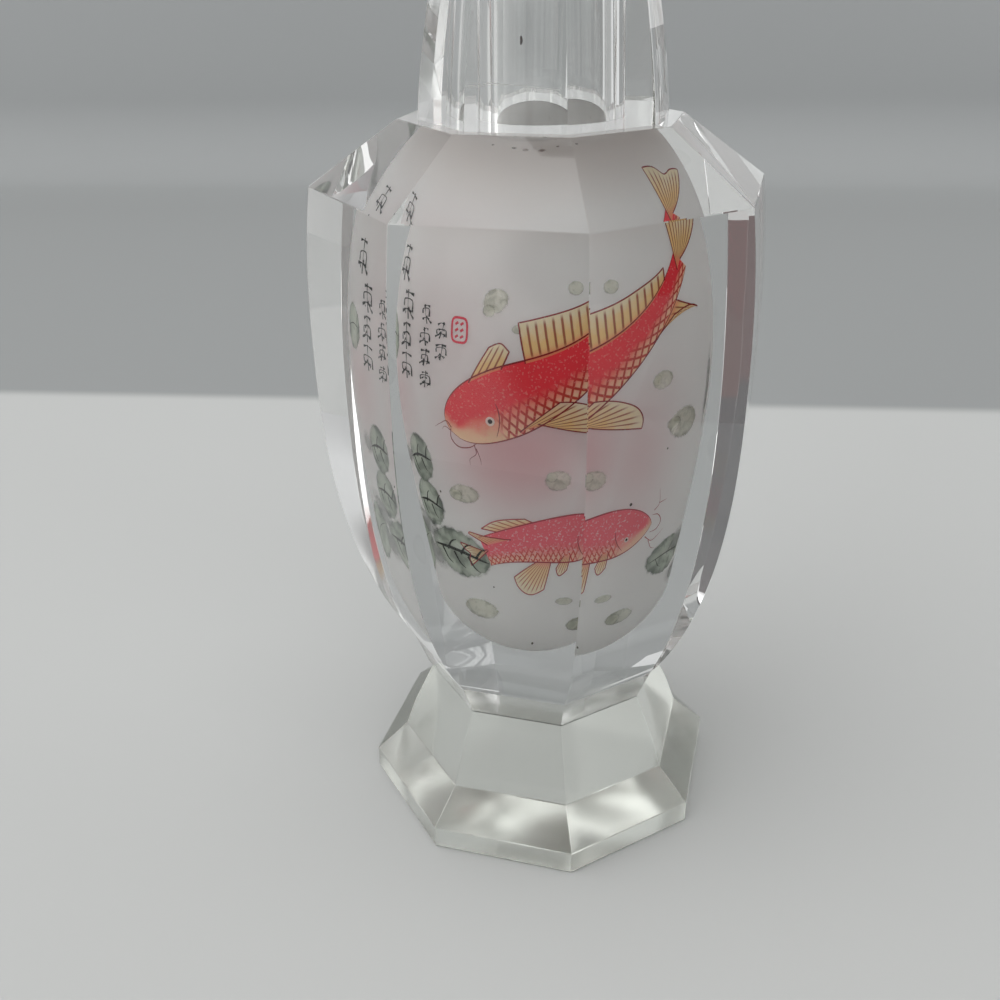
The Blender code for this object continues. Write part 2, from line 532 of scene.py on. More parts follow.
@dataclass
class Blank:
    """A closed glass piece made by carrying one outline round the axis, with its edges just taken off."""

    name: str
    flats: tuple[float, ...] = (1.0,) * FLATS
    stretches: list[Stretch] = field(default_factory=list)

    def add(self, radius: Any, height: Any, cut: Cut = Cut.FLATS, smooth: bool = False) -> Blank:
        """Adds a stretch to the outline, in millimetres.

        Args:
            radius: One radius to the corners, or several.
            height: One height, or several.
            cut: How the stretch goes round the axis.
            smooth: True if its points lie on one curve.

        Returns:
            The blank itself.
        """
        radii = np.atleast_1d(np.asarray(radius, float)) * MM
        heights = np.atleast_1d(np.asarray(height, float)) * MM
        radii, heights = np.broadcast_arrays(radii, heights)
        self.stretches.append(Stretch(radii, heights, cut, smooth))
        return self

    def outline(self) -> tuple[np.ndarray, np.ndarray]:
        """The whole outline.

        Each corner between two octagonal stretches is replaced by two points, one along each leg, so that a
        narrow flat lies where the edge would be.

        Returns:
            Rows of (radius, height, squareness), and for each row whether the span that follows is smooth.
        """
        rows: list[np.ndarray] = []
        smooth: list[np.ndarray] = []
        for stretch in self.stretches:
            count = len(stretch.radius)
            squareness = np.full(count, stretch.cut.value)
            rows.append(np.stack([stretch.radius, stretch.height, squareness], -1))
            smooth.append(np.append(np.full(count - 1, stretch.smooth), False))
        return self.take_off_edges(np.vstack(rows), np.concatenate(smooth))

    @staticmethod
    def take_off_edges(rows: np.ndarray, smooth: np.ndarray) -> tuple[np.ndarray, np.ndarray]:
        """Splits each sharp octagonal corner of the outline into two points an arris apart.

        Args:
            rows: Rows of (radius, height, squareness).
            smooth: Whether the span after each row is smooth.

        Returns:
            The same two, with a row added at each sharp corner.
        """
        before = rows - np.roll(rows, 1, axis=0)
        after = np.roll(rows, -1, axis=0) - rows
        reach_in = np.linalg.norm(before[:, :2], axis=1)
        reach_out = np.linalg.norm(after[:, :2], axis=1)
        unit_in = before / np.maximum(reach_in, 1e-9)[:, None]
        unit_out = after / np.maximum(reach_out, 1e-9)[:, None]
        turn = np.arccos(np.clip((unit_in[:, :2] * unit_out[:, :2]).sum(1), -1, 1))
        sharp = (turn > SHARP) & (rows[:, 2] == Cut.FLATS.value) & (rows[:, 0] > 0)
        first = rows - unit_in * np.minimum(ARRIS, reach_in / 3)[:, None]
        second = rows + unit_out * np.minimum(ARRIS, reach_out / 3)[:, None]
        squareness = rows[:, 2].copy()
        first[:, 2] = squareness
        second[:, 2] = squareness
        pairs = np.stack([np.where(sharp[:, None], first, rows), second], 1)
        keep = np.stack([np.ones(len(rows), bool), sharp], 1).ravel()
        flags = np.stack([np.where(sharp, False, smooth), smooth], 1).ravel()
        return pairs.reshape(-1, 3)[keep], flags[keep]

    def make(self, material: bpy.types.Material, ring: bool = False) -> bpy.types.Object:
        """Carries the outline round the axis.

        A point's radius is as given on a round stretch. On an octagonal one it is that times the length of
        its place on the unit octagon. Columns stand a hair either side of each corner, which leaves the
        arris between two flats.

        Args:
            material: What the piece is made of.
            ring: True if the outline closes on itself; otherwise its first and last points lie on the axis.

        Returns:
            The piece.
        """
        rows, smooth = self.outline()
        places = self.unit_octagon()
        turns = np.arctan2(places[:, 1], places[:, 0])
        reach = np.linalg.norm(places, axis=1)
        squareness = rows[:, 2:3]
        radius = rows[:, :1] * (1 - squareness + squareness * reach)
        around = np.stack([np.cos(turns), np.sin(turns)], -1)
        height = np.broadcast_to(rows[:, 1, None, None], (*radius.shape, 1))
        points = np.concatenate([radius[..., None] * around, height], -1)
        columns = len(turns)
        if ring:
            quads = grid_quads(len(rows) + 1, columns, True) % (len(rows) * columns)
            mesh = self.mesh_of(points.reshape(-1, 3), quads.tolist(), np.repeat(smooth, columns))
            return add_object(self.name, mesh, material)
        middle = points[1:-1].reshape(-1, 3)
        poles = np.array([[0, 0, rows[0, 1]], [0, 0, rows[-1, 1]]])
        faces = grid_quads(len(rows) - 2, columns, True).tolist() + self.pole_fans(len(middle), columns)
        spans = np.concatenate([smooth[1:-2], [False, smooth[-2]]])
        mesh = self.mesh_of(np.vstack([middle, poles]), faces, np.repeat(spans, columns))
        return add_object(self.name, mesh, material)

    def unit_octagon(self) -> np.ndarray:
        """Places along the eight flats of an octagon whose corners stand 1 from the axis.

        Each flat's line keeps its heading and stands at its share of the regular distance. A corner is where
        two neighbouring lines meet, and the places run evenly from corner to corner, in by an arris.

        Returns:
            Places in order round the axis, one to a row.
        """
        turns = np.arange(FLATS) * 2 * HALF_FLAT
        out = np.stack([np.cos(turns), np.sin(turns)], -1)
        distance = math.cos(HALF_FLAT) * np.array(self.flats)
        pairs = np.stack([np.roll(out, 1, axis=0), out], 1)
        corners = np.linalg.solve(pairs, np.stack([np.roll(distance, 1), distance], -1)[..., None])[..., 0]
        share = np.linspace(ARRIS_SHARE, 1 - ARRIS_SHARE, COLUMNS_PER_FLAT)[None, :, None]
        following = np.roll(corners, -1, axis=0)
        return (corners[:, None] * (1 - share) + following[:, None] * share).reshape(-1, 2)

    @staticmethod
    def pole_fans(count: int, columns: int) -> list[list[int]]:
        """Triangles from the first ring to the first pole, and from the last ring to the last pole.

        Args:
            count: How many points the rings have in all; the poles follow them.
            columns: How many points a ring has.

        Returns:
            Point numbers of the triangles.
        """
        this = np.arange(columns)
        following = (this + 1) % columns
        last = count - columns
        first_fan = np.stack([np.full(columns, count), following, this], -1)
        last_fan = np.stack([last + this, last + following, np.full(columns, count + 1)], -1)
        return np.vstack([first_fan, last_fan]).tolist()

    def mesh_of(self, points: np.ndarray, faces: list[list[int]], smooth: np.ndarray) -> bpy.types.Mesh:
        """A mesh whose curved spans are shaded smooth along the outline and sharp from flat to flat.

        Args:
            points: The points in metres.
            faces: Each face's point numbers.
            smooth: Whether each face is shaded smooth.

        Returns:
            The mesh.
        """
        mesh = bpy.data.meshes.new(self.name)
        mesh.from_pydata(points.tolist(), [], faces)
        mesh.polygons.foreach_set("use_smooth", smooth)
        mesh.set_sharp_from_angle(angle=SHARP)
        return mesh


@dataclass(frozen=True)
class CavityWall:
    """The turned cavity, in millimetres: a round bottom, a swelling wall, a crown and a straight mouth."""

    bottom: float = 44.7
    bowl_height: float = 57.0
    bowl_radius: float = 17.3
    bowl_slope: float = 0.16
    widest_height: float = 101.0
    widest_radius: float = 23.4
    crown: float = 33.0
    mouth_radius: float = 10.0
    degree: float = 0.42
    paint_margin: float = 0.5

    def outline(self, top: float) -> tuple[np.ndarray, np.ndarray]:
        """Radii and heights from the mouth's top down to just above the bottom's centre.

        Args:
            top: The height of the mouth's top.

        Returns:
            The radii and the heights.
        """
        mouth = np.linspace(top, self.widest_height + self.crown, 6)[:-1]
        crown = np.linspace(math.pi / 2, 0, 31)[:-1]
        wall = np.linspace(1, 0, 41)
        bowl = np.linspace(math.pi / 2, 0, 26)[1:-1]
        depth = (self.bowl_height - self.bottom) * np.cos(bowl)
        radii = [
            np.full(len(mouth), self.mouth_radius),
            self.mouth_radius + (self.widest_radius - self.mouth_radius) * np.cos(crown),
            self.wall_radius(wall),
            (self.bowl_radius - self.bowl_slope * depth) * np.sin(bowl),
        ]
        heights = [
            mouth,
            self.widest_height + self.crown * np.sin(crown),
            self.bowl_height + (self.widest_height - self.bowl_height) * wall,
            self.bowl_height - depth,
        ]
        return np.concatenate(radii), np.concatenate(heights)

    def wall_radius(self, t: np.ndarray) -> np.ndarray:
        """The swelling wall's radius as t goes from the bowl to the widest height."""
        length = self.widest_height - self.bowl_height
        return hermite(self.bowl_radius, self.widest_radius, self.bowl_slope, length, t)

    def radius(self, height: np.ndarray) -> np.ndarray:
        """The wall's radius at each height.

        The bowl is an ellipse whose width shrinks in proportion to depth, the wall a cubic, the crown a
        quarter ellipse down to the mouth's radius, and the mouth is straight.

        Args:
            height: Heights in millimetres.

        Returns:
            A radius for each height.
        """
        depth = np.clip(self.bowl_height - height, 0, None)
        share = np.clip(depth / (self.bowl_height - self.bottom), 0, 1)
        bowl = (self.bowl_radius - self.bowl_slope * depth) * np.sqrt(1 - share**2)
        t = np.clip((height - self.bowl_height) / (self.widest_height - self.bowl_height), 0, 1)
        rise = np.clip((height - self.widest_height) / self.crown, 0, 1)
        crown = self.mouth_radius + (self.widest_radius - self.mouth_radius) * np.sqrt(1 - rise**2)
        upper = np.where(height > self.widest_height, crown, self.wall_radius(t))
        return np.where(height < self.bowl_height, bowl, upper)

    def lay(self, sheet: np.ndarray, lift: float) -> np.ndarray:
        """Lays flat points onto the wall.

        Args:
            sheet: (across, height) in millimetres, where a degree of turn is self.degree across.
            lift: How far into the glass from the wall, square to it, in millimetres.

        Returns:
            Points in metres.
        """
        turn = np.radians(sheet[..., 0] / self.degree)
        top = self.widest_height + self.crown
        height = np.clip(sheet[..., 1], self.bottom + self.paint_margin, top - self.paint_margin)
        nudge = 0.05
        slope = (self.radius(height + nudge) - self.radius(height - nudge)) / (2 * nudge)
        square = np.sqrt(1 + slope**2)
        radius = self.radius(height) + lift / square
        level = height - lift * slope / square
        return np.stack([radius * np.sin(turn), -radius * np.cos(turn), level], -1) * MM

    def film(self, top: float, lift: float) -> np.ndarray:
        """The cavity's outline moved into the glass by lift, as rows of (radius, height) in millimetres.

        Args:
            top: The height of the mouth's top.
            lift: How far the outline moves.

        Returns:
            The moved outline, from the mouth down to the axis.
        """
        radius, height = self.outline(top)
        path = np.stack([np.append(radius, 0.0), np.append(height, self.bottom)], -1)
        out = normals_of(path)
        out[-1] = (0.0, -1.0)
        return path + lift * out


@dataclass(frozen=True)
class Foot:
    """The solid foot: an edge, a long slope, a collar and a flare up to the body, in millimetres."""

    base_radius: float = 37.9
    edge_height: float = 5.0
    slope_radius: float = 30.95
    slope_height: float = 11.6
    collar_radius: float = 28.7
    collar_height: float = 18.0
    top_radius: float = 24.35

    def build(self, crystal: Crystal) -> bpy.types.Object:
        """Builds the foot up to the joint with the body.

        Args:
            crystal: What it is made of.

        Returns:
            The piece.
        """
        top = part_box("foot")[1].z / MM + 2 * CEMENT_REACH / MM
        blank = Blank("foot_crystal").add(0.0, 0.0).add(self.base_radius, 0.0)
        blank.add(self.base_radius, self.edge_height).add(self.slope_radius, self.slope_height)
        blank.add(self.collar_radius, self.collar_height).add(self.top_radius, top).add(0.0, top)
        return blank.make(crystal.material())


@dataclass(frozen=True)
class Body:
    """The hollow body: chamfer, bellied side and shoulder outside, cavity inside, in millimetres."""

    bottom_radius: float = 24.5
    chamfer_top: float = 34.4
    shoulder_height: float = 130.4
    top_radius: float = 25.0
    belly_radius: float = 42.7
    belly_height: float = 100.0
    belly_half_length: float = 81.8
    belly_power: float = 2.4
    side_steps: int = 61
    flats: tuple[float, ...] = (1.0, 0.948, 1.0, 1.0, 1.05, 1.0, 1.0, 1.0)

    def build(self, crystal: Crystal, wall: CavityWall) -> bpy.types.Object:
        """Builds the body between its two joints, with the cavity open at the top.

        The belly's radius is its widest times sqrt(1 - reach^power), where reach is the share of a half
        length from its widest height.

        Args:
            crystal: What it is made of.
            wall: The cavity inside it.

        Returns:
            The piece.
        """
        low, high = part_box("body")
        bottom = low.z / MM - 2 * CEMENT_REACH / MM
        top = high.z / MM + CEMENT_REACH / MM
        side = np.linspace(self.chamfer_top, self.shoulder_height, self.side_steps)
        reach = np.abs(side - self.belly_height) / self.belly_half_length
        swell = np.sqrt(1 - reach**self.belly_power)
        inner_radius, inner_height = wall.outline(top)
        blank = Blank("body_crystal", self.flats).add(0.0, bottom).add(self.bottom_radius, bottom)
        blank.add(self.belly_radius * swell, side, smooth=True).add(self.top_radius, top)
        blank.add(inner_radius, inner_height, Cut.ROUND, smooth=True).add(0.0, wall.bottom, Cut.ROUND)
        return blank.make(crystal.material())


@dataclass(frozen=True)
class Neck:
    """The neck: in to the waist and out to a plain rim outside, a round bore inside, in millimetres."""

    bottom_radius: float = 22.06
    bottom_slope: float = -0.06
    waist_height: float = 181.5
    waist_radius: float = 16.9
    rim_radius: float = 21.8
    rim_band: float = 3.0
    bore_flare: float = 186.0
    bore_rim_radius: float = 15.0

    def build(self, crystal: Crystal, bore_radius: float) -> bpy.types.Object:
        """Builds the neck from its joint with the body up to the rim.

        Args:
            crystal: What it is made of.
            bore_radius: The bore's radius.

        Returns:
            The piece.
        """
        low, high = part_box("neck")
        bottom, top = low.z / MM, high.z / MM
        joint = bottom - 2 * CEMENT_REACH / MM
        t = np.linspace(0, 1, 41)
        length = self.waist_height - bottom
        taper = hermite(self.bottom_radius, self.waist_radius, self.bottom_slope, length, t)
        taper_height = bottom + length * t
        taper_height[0] = joint
        flare = np.linspace(0, 1, 21)[1:]
        flare_radius = self.waist_radius + (self.rim_radius - self.waist_radius) * flare**2
        flare_height = self.waist_height + (top - self.rim_band - self.waist_height) * flare
        opening = np.linspace(1, 0, 17)
        opening_radius = bore_radius + (self.bore_rim_radius - bore_radius) * opening**2
        opening_height = self.bore_flare + (top - self.bore_flare) * opening
        blank = Blank("neck_crystal")
        blank.add(np.append(taper, flare_radius), np.append(taper_height, flare_height), smooth=True)
        blank.add(self.rim_radius, top)
        blank.add(opening_radius, opening_height, Cut.ROUND, smooth=True)
        blank.add(bore_radius, joint, Cut.ROUND)
        return blank.make(crystal.material(), ring=True)


# --- Paint ----------------------------------------------------------------------------------------


class Layer(Enum):
    """How far into the glass each layer of paint lies, in millimetres from the cavity wall."""

    FROST = 0.15
    WASH = 0.19
    BODY = 0.22
    FIN = 0.25
    INK = 0.28
    EYE = 0.30
    PUPIL = 0.32


class Tip(Enum):
    """How a stroke's width runs from its start to its end."""

    EVEN = "even"
    POINTED = "pointed"
    TRAILING = "trailing"
    PRESSED = "pressed"

    def width(self, t: np.ndarray) -> np.ndarray:
        """The share of the full width at each t from 0 to 1.

        Args:
            t: Shares along the stroke, from 0 to 1.

        Returns:
            Shares of the full width.
        """
        if self is Tip.POINTED:
            return 0.25 + 0.75 * np.sin(np.pi * t) ** 0.7
        if self is Tip.TRAILING:
            return 1.0 - 0.8 * t
        if self is Tip.PRESSED:
            return 0.65 + 0.35 * np.cos(2 * np.pi * t)
        return np.ones_like(t)


@dataclass(frozen=True)
class Stroke:
    """One line of the brush: places (turn, height) that it passes, its full width in mm, and its tip."""

    places: Sequence[Place]
    width: float
    tip: Tip = Tip.POINTED

    def sheet(self, wall: CavityWall, layer: Layer) -> Sheet:
        """A ribbon along a smooth curve through the places."""
        flat = np.array(self.places, float) * (wall.degree, 1.0)
        return ribbon(smooth_path(flat, 8), self.width, self.tip, wall, layer)


def ribbon(path: np.ndarray, width: float, tip: Tip, wall: CavityWall, layer: Layer) -> Sheet:
    """A ribbon on the wall.

    Args:
        path: The middle of the ribbon, flat, in millimetres.
        width: Its full width in millimetres.
        tip: How the width runs.
        wall: The wall it lies on.
        layer: How deep it lies.

    Returns:
        A surface whose flat places are (share along, share across).
    """
    along = np.linspace(0, 1, len(path))
    across = np.array([0.5, 0.0, -0.5])
    reach = (width * tip.width(along))[:, None, None] * across[None, :, None]
    flat = path[:, None] + reach * normals_of(path)[:, None]
    shares = np.stack(np.broadcast_arrays(along[:, None], across + 0.5), -1)
    return Sheet.of_grid(wall.lay(flat, layer.value), shares)


@dataclass(frozen=True)
class Patch:
    """A soft-edged spot of wash: its middle (turn, height), half sizes in mm, and its tilt in degrees."""

    middle: Place
    half_length: float
    half_height: float
    tilt: float = 0.0
    point: float = 0.0

    def sheet(self, wall: CavityWall, layer: Layer) -> Sheet:
        """A disc pulled to an ellipse, narrowed towards its two ends by the share point.

        A point at share r from the middle and angle a stands at r * length * cos(a) along the patch, and at
        r * height * sin(a) * (1 - point * |cos(a)|^3) across it.

        Args:
            wall: The wall it lies on.
            layer: How deep it lies.

        Returns:
            A surface whose flat places lie round (0.5, 0.5).
        """
        round_places = disc(PATCH_REACH, 9, 48)
        lean = np.abs(round_places[..., 0]) / np.linalg.norm(round_places, axis=-1)
        long = round_places[..., 0] * self.half_length
        high = round_places[..., 1] * self.half_height * (1 - self.point * lean**3)
        tilt = math.radians(self.tilt)
        cos, sin = math.cos(tilt), math.sin(tilt)
        flat = np.stack([long * cos - high * sin, long * sin + high * cos], -1)
        flat += (self.middle[0] * wall.degree, self.middle[1])
        shares = round_places / DISC_SPAN + 0.5
        return Sheet.of_grid(wall.lay(flat[::-1], layer.value), shares[::-1], closed=True)


def laid(marks: Sequence[Stroke | Patch], wall: CavityWall | Bore | Pane, layer: Layer) -> Sheet:
    """All the given marks on one wall and in one layer, as one surface."""
    return Sheet.joined([mark.sheet(wall, layer) for mark in marks])


@dataclass(frozen=True)
class Wash:
    """A watery paint: its pale and dark colours, how much of the wall it covers, and how mottled it is."""

    name: str
    pale: Colour
    dark: Colour
    cover: float
    mottle: float = 320.0
    edge: float = 0.3

    def material(self) -> bpy.types.Material:
        """Paint that pools in blotches and a darker rim, and thins out raggedly at its edge.

        Returns:
            The paint.
        """
        recipe = Recipe.material(self.name)
        across, up, _ = recipe.parts("UV")
        away = (((across - 0.5) ** 2.0 + (up - 0.5) ** 2.0) ** 0.5) * DISC_SPAN
        blotches = recipe.noise(self.mottle, 3.0, 0.6)
        ragged = away + (recipe.noise(self.mottle * 2.2, 2.0) - 0.5) * 0.22
        rim = ragged.rise(0.62, 0.98) * 0.45
        pooled = (blotches.rise(0.38, 0.66) * 0.75 + rim) * 0.9
        colour = recipe.blend(pooled, self.pale, self.dark)
        cover = ragged.rise(1.04, 1.04 - self.edge) * (0.55 + 0.45 * blotches.rise(0.25, 0.6)) * self.cover
        return recipe.thin_paint(colour, cover)


@dataclass(frozen=True)
class Ink:
    """Brush ink or line colour, laid on nearly solid."""

    name: str
    colour: Colour
    cover: float = 0.92

    def material(self) -> bpy.types.Material:
        """A line whose two long edges are soft and whose middle is patchy, as a half-dry brush leaves it.

        Returns:
            The ink.
        """
        recipe = Recipe.material(self.name)
        _, across, _ = recipe.parts("UV")
        edge = (across - 0.5) ** 2.0
        dry = recipe.noise(2600.0, 2.0).rise(0.25, 0.5)
        cover = edge.rise(0.25, 0.12) * (0.7 + 0.3 * dry) * self.cover
        return recipe.thin_paint(self.colour, cover)


@dataclass(frozen=True)
class Haze:
    """A faint tint in the frosted coat: its middle (turn, height), half sizes (degrees, mm) and strength."""

    middle: Place
    reach: Place
    strength: float


@dataclass(frozen=True)
class Frost:
    """The frosted, lightly tinted coat over the whole cavity wall."""

    name: str = "painted_frost"
    white: Colour = (0.992, 0.988, 0.978)
    cloud: Colour = (0.978, 0.974, 0.964)
    through: float = 0.78
    rose: Colour = (0.86, 0.56, 0.58)
    umber: Colour = (0.16, 0.12, 0.10)
    # Painted shade with residue in the crown, and painted light at the mouth.
    crown_buff_and_shade: Colour = (0.88, 0.83, 0.80)
    mouth_painted_light: Colour = (0.995, 0.982, 0.962)
    hazes: tuple[Haze, ...] = (
        Haze((6.0, 91.0), (34.0, 12.0), 1.0),
        Haze((46.0, 88.0), (22.0, 14.0), 0.5),
        Haze((-28.0, 108.0), (40.0, 16.0), 0.24),
        Haze((-66.0, 96.0), (22.0, 10.0), 0.4),
    )
    crown_start: float = 121.0
    mouth_start: float = 132.0

    def material(self) -> bpy.types.Material:
        """Pale frost with soft rose hazes, a darker buff in the crown that is partly a residue band and
        partly painted shade, painted light that keeps the mouth pale cream, and brown residue by the mouth.

        A haze is its strength times exp(-(turn off its middle / reach)^2 - (height off it / reach)^2).

        Returns:
            The coat.
        """
        recipe = Recipe.material(self.name)
        x, y, z = recipe.parts("Object")
        turn = x.math("ARCTAN2", x, 0.0 - y) * math.degrees(1.0)
        height = z * (1 / MM)
        clouds = recipe.noise(90.0, 4.0, 0.4)
        colour = recipe.blend(clouds.rise(0.35, 0.7), self.white, self.cloud)
        rosy: Value | None = None
        for haze in self.hazes:
            aside = (turn - haze.middle[0]) / haze.reach[0]
            above = (height - haze.middle[1]) / haze.reach[1]
            off = aside**2.0 + above**2.0
            spot = off.math("EXPONENT", 0.0 - off) * haze.strength
            rosy = spot if rosy is None else rosy | spot
        colour = recipe.blend(rosy * (0.85 + 0.3 * clouds), colour, self.rose)
        # Painted shade: a darker buff in the crown, partly residue and partly against the light from above.
        colour = recipe.blend(height.rise(self.crown_start, 134.0), colour, self.crown_buff_and_shade)
        # Painted light: the mouth turns pale cream where it lies in the cavity's shade.
        colour = recipe.blend(height.rise(133.0, 136.0), colour, self.mouth_painted_light)
        specks = recipe.noise(1500.0, 2.0).rise(0.72, 0.78) * height.rise(self.mouth_start, 134.0) * 0.8
        colour = recipe.blend(specks, colour, self.umber)
        return recipe.thin_paint(colour, through=self.through)


@dataclass(frozen=True)
class FrostedWall:
    """The coat itself: one thin sheet just inside the glass of the cavity wall."""

    frost: Frost
    columns: int = 192

    def build(self, wall: CavityWall) -> bpy.types.Object:
        """Carries the cavity's outline, moved a little into the glass, round the axis.

        Args:
            wall: The cavity that it coats.

        Returns:
            The piece.
        """
        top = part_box("body")[1].z / MM + CEMENT_REACH / MM
        path = wall.film(top, Layer.FROST.value)[::-1] * MM
        turns = np.linspace(0, 2 * np.pi, self.columns, endpoint=False)
        path[0, 0] = HAIR
        radius, height = path[:, :1], np.repeat(path[:, 1:], self.columns, 1)
        points = np.stack([radius * np.cos(turns), radius * np.sin(turns), height], -1)
        flat = np.zeros((*points.shape[:2], 2))
        sheet = Sheet.of_grid(points, flat, closed=True)
        return sheet.make("cavity_frost", self.frost.material())


@dataclass(frozen=True)
class CarpColours:
    """What one carp is painted with."""

    name: str
    back: Colour
    flank: Colour
    net: Colour
    speck: Colour
    fin: Colour
    fin_edge: Colour
    ray: Colour
    line: Colour
    scaled_up_to: float
    speckled: float

    def skin(self) -> bpy.types.Material:
        """A coloured back over a pale flank with a net of scales, pale at the nose, with paler specks.

        The flat places run from snout to tail and from belly to back. The net's two sets of lines lean
        opposite ways across the flank.

        Returns:
            The body's paint.
        """
        recipe = Recipe.material(f"{self.name}_skin")
        along, up, _ = recipe.parts("UV")
        wobble = recipe.noise(500.0, 2.0) - 0.5
        lean_one = along * 26.0 + up * 4.2
        lean_two = along * 26.0 - up * 4.2
        net = lean_one.stripe(0.22) | lean_two.stripe(0.22)
        body = along.rise(0.27, 0.33)
        blush = (up + wobble * 0.3).rise(0.0, self.scaled_up_to) * 0.4 + 0.04
        flank = recipe.blend(blush, self.flank, self.back)
        netted = recipe.blend(net * body * 0.95, flank, self.net)
        edge = up + wobble * 0.22
        red = edge.rise(self.scaled_up_to - 0.16, self.scaled_up_to + 0.16)
        nose = (along + up * 0.04 + wobble * 0.04).rise(0.10, 0.03)
        cheek = (along + up * 0.32).rise(0.27, 0.17) * up.rise(0.5, 0.25)
        coloured = recipe.blend(red, netted, self.back)
        dots = recipe.noise(2300.0, 1.0).rise(0.60, 0.68) * self.speckled
        coloured = recipe.blend(dots, coloured, self.speck)
        coloured = recipe.blend(cheek * 0.7, coloured, self.flank)
        coloured = recipe.blend(nose * 0.8, coloured, self.flank)
        return recipe.thin_paint(coloured)

    def fins(self) -> bpy.types.Material:
        """A fin that pales towards its edge, with dark rays from root to edge.

        Returns:
            The fins' paint.
        """
        recipe = Recipe.material(f"{self.name}_fin")
        out, across, _ = recipe.parts("UV")
        wobble = recipe.noise(700.0, 2.0) - 0.5
        colour = recipe.blend((out + wobble * 0.5).rise(0.35, 1.0), self.fin, self.fin_edge)
        rays = (across + wobble * 0.05).stripe(0.20) * out.rise(0.02, 0.2) * out.rise(0.99, 0.8)
        root = out.rise(0.3, 0.0) * 0.5
        colour = recipe.blend(root, colour, self.back)
        colour = recipe.blend(rays * 0.9, colour, self.ray)
        return recipe.thin_paint(colour, 0.94)


@dataclass(frozen=True)
class Fin:
    """A fan of rays.

    Attributes:
        start, end: Where its root lies along the body, as shares from snout to tail.
        side: +1 on the back's edge, -1 on the belly's, or a share between for a root on the flank.
        heading: The middle ray's direction in degrees, from across towards up.
        spread: How far the outer rays lean from it, in degrees.
        length: The longest ray in mm.
        shape: Lengths of the rays as shares, from the first ray to the last.
        rays: How many rays it has.
    """

    start: float
    end: float
    side: float
    heading: float
    spread: float
    length: float
    shape: Sequence[float]
    rays: int


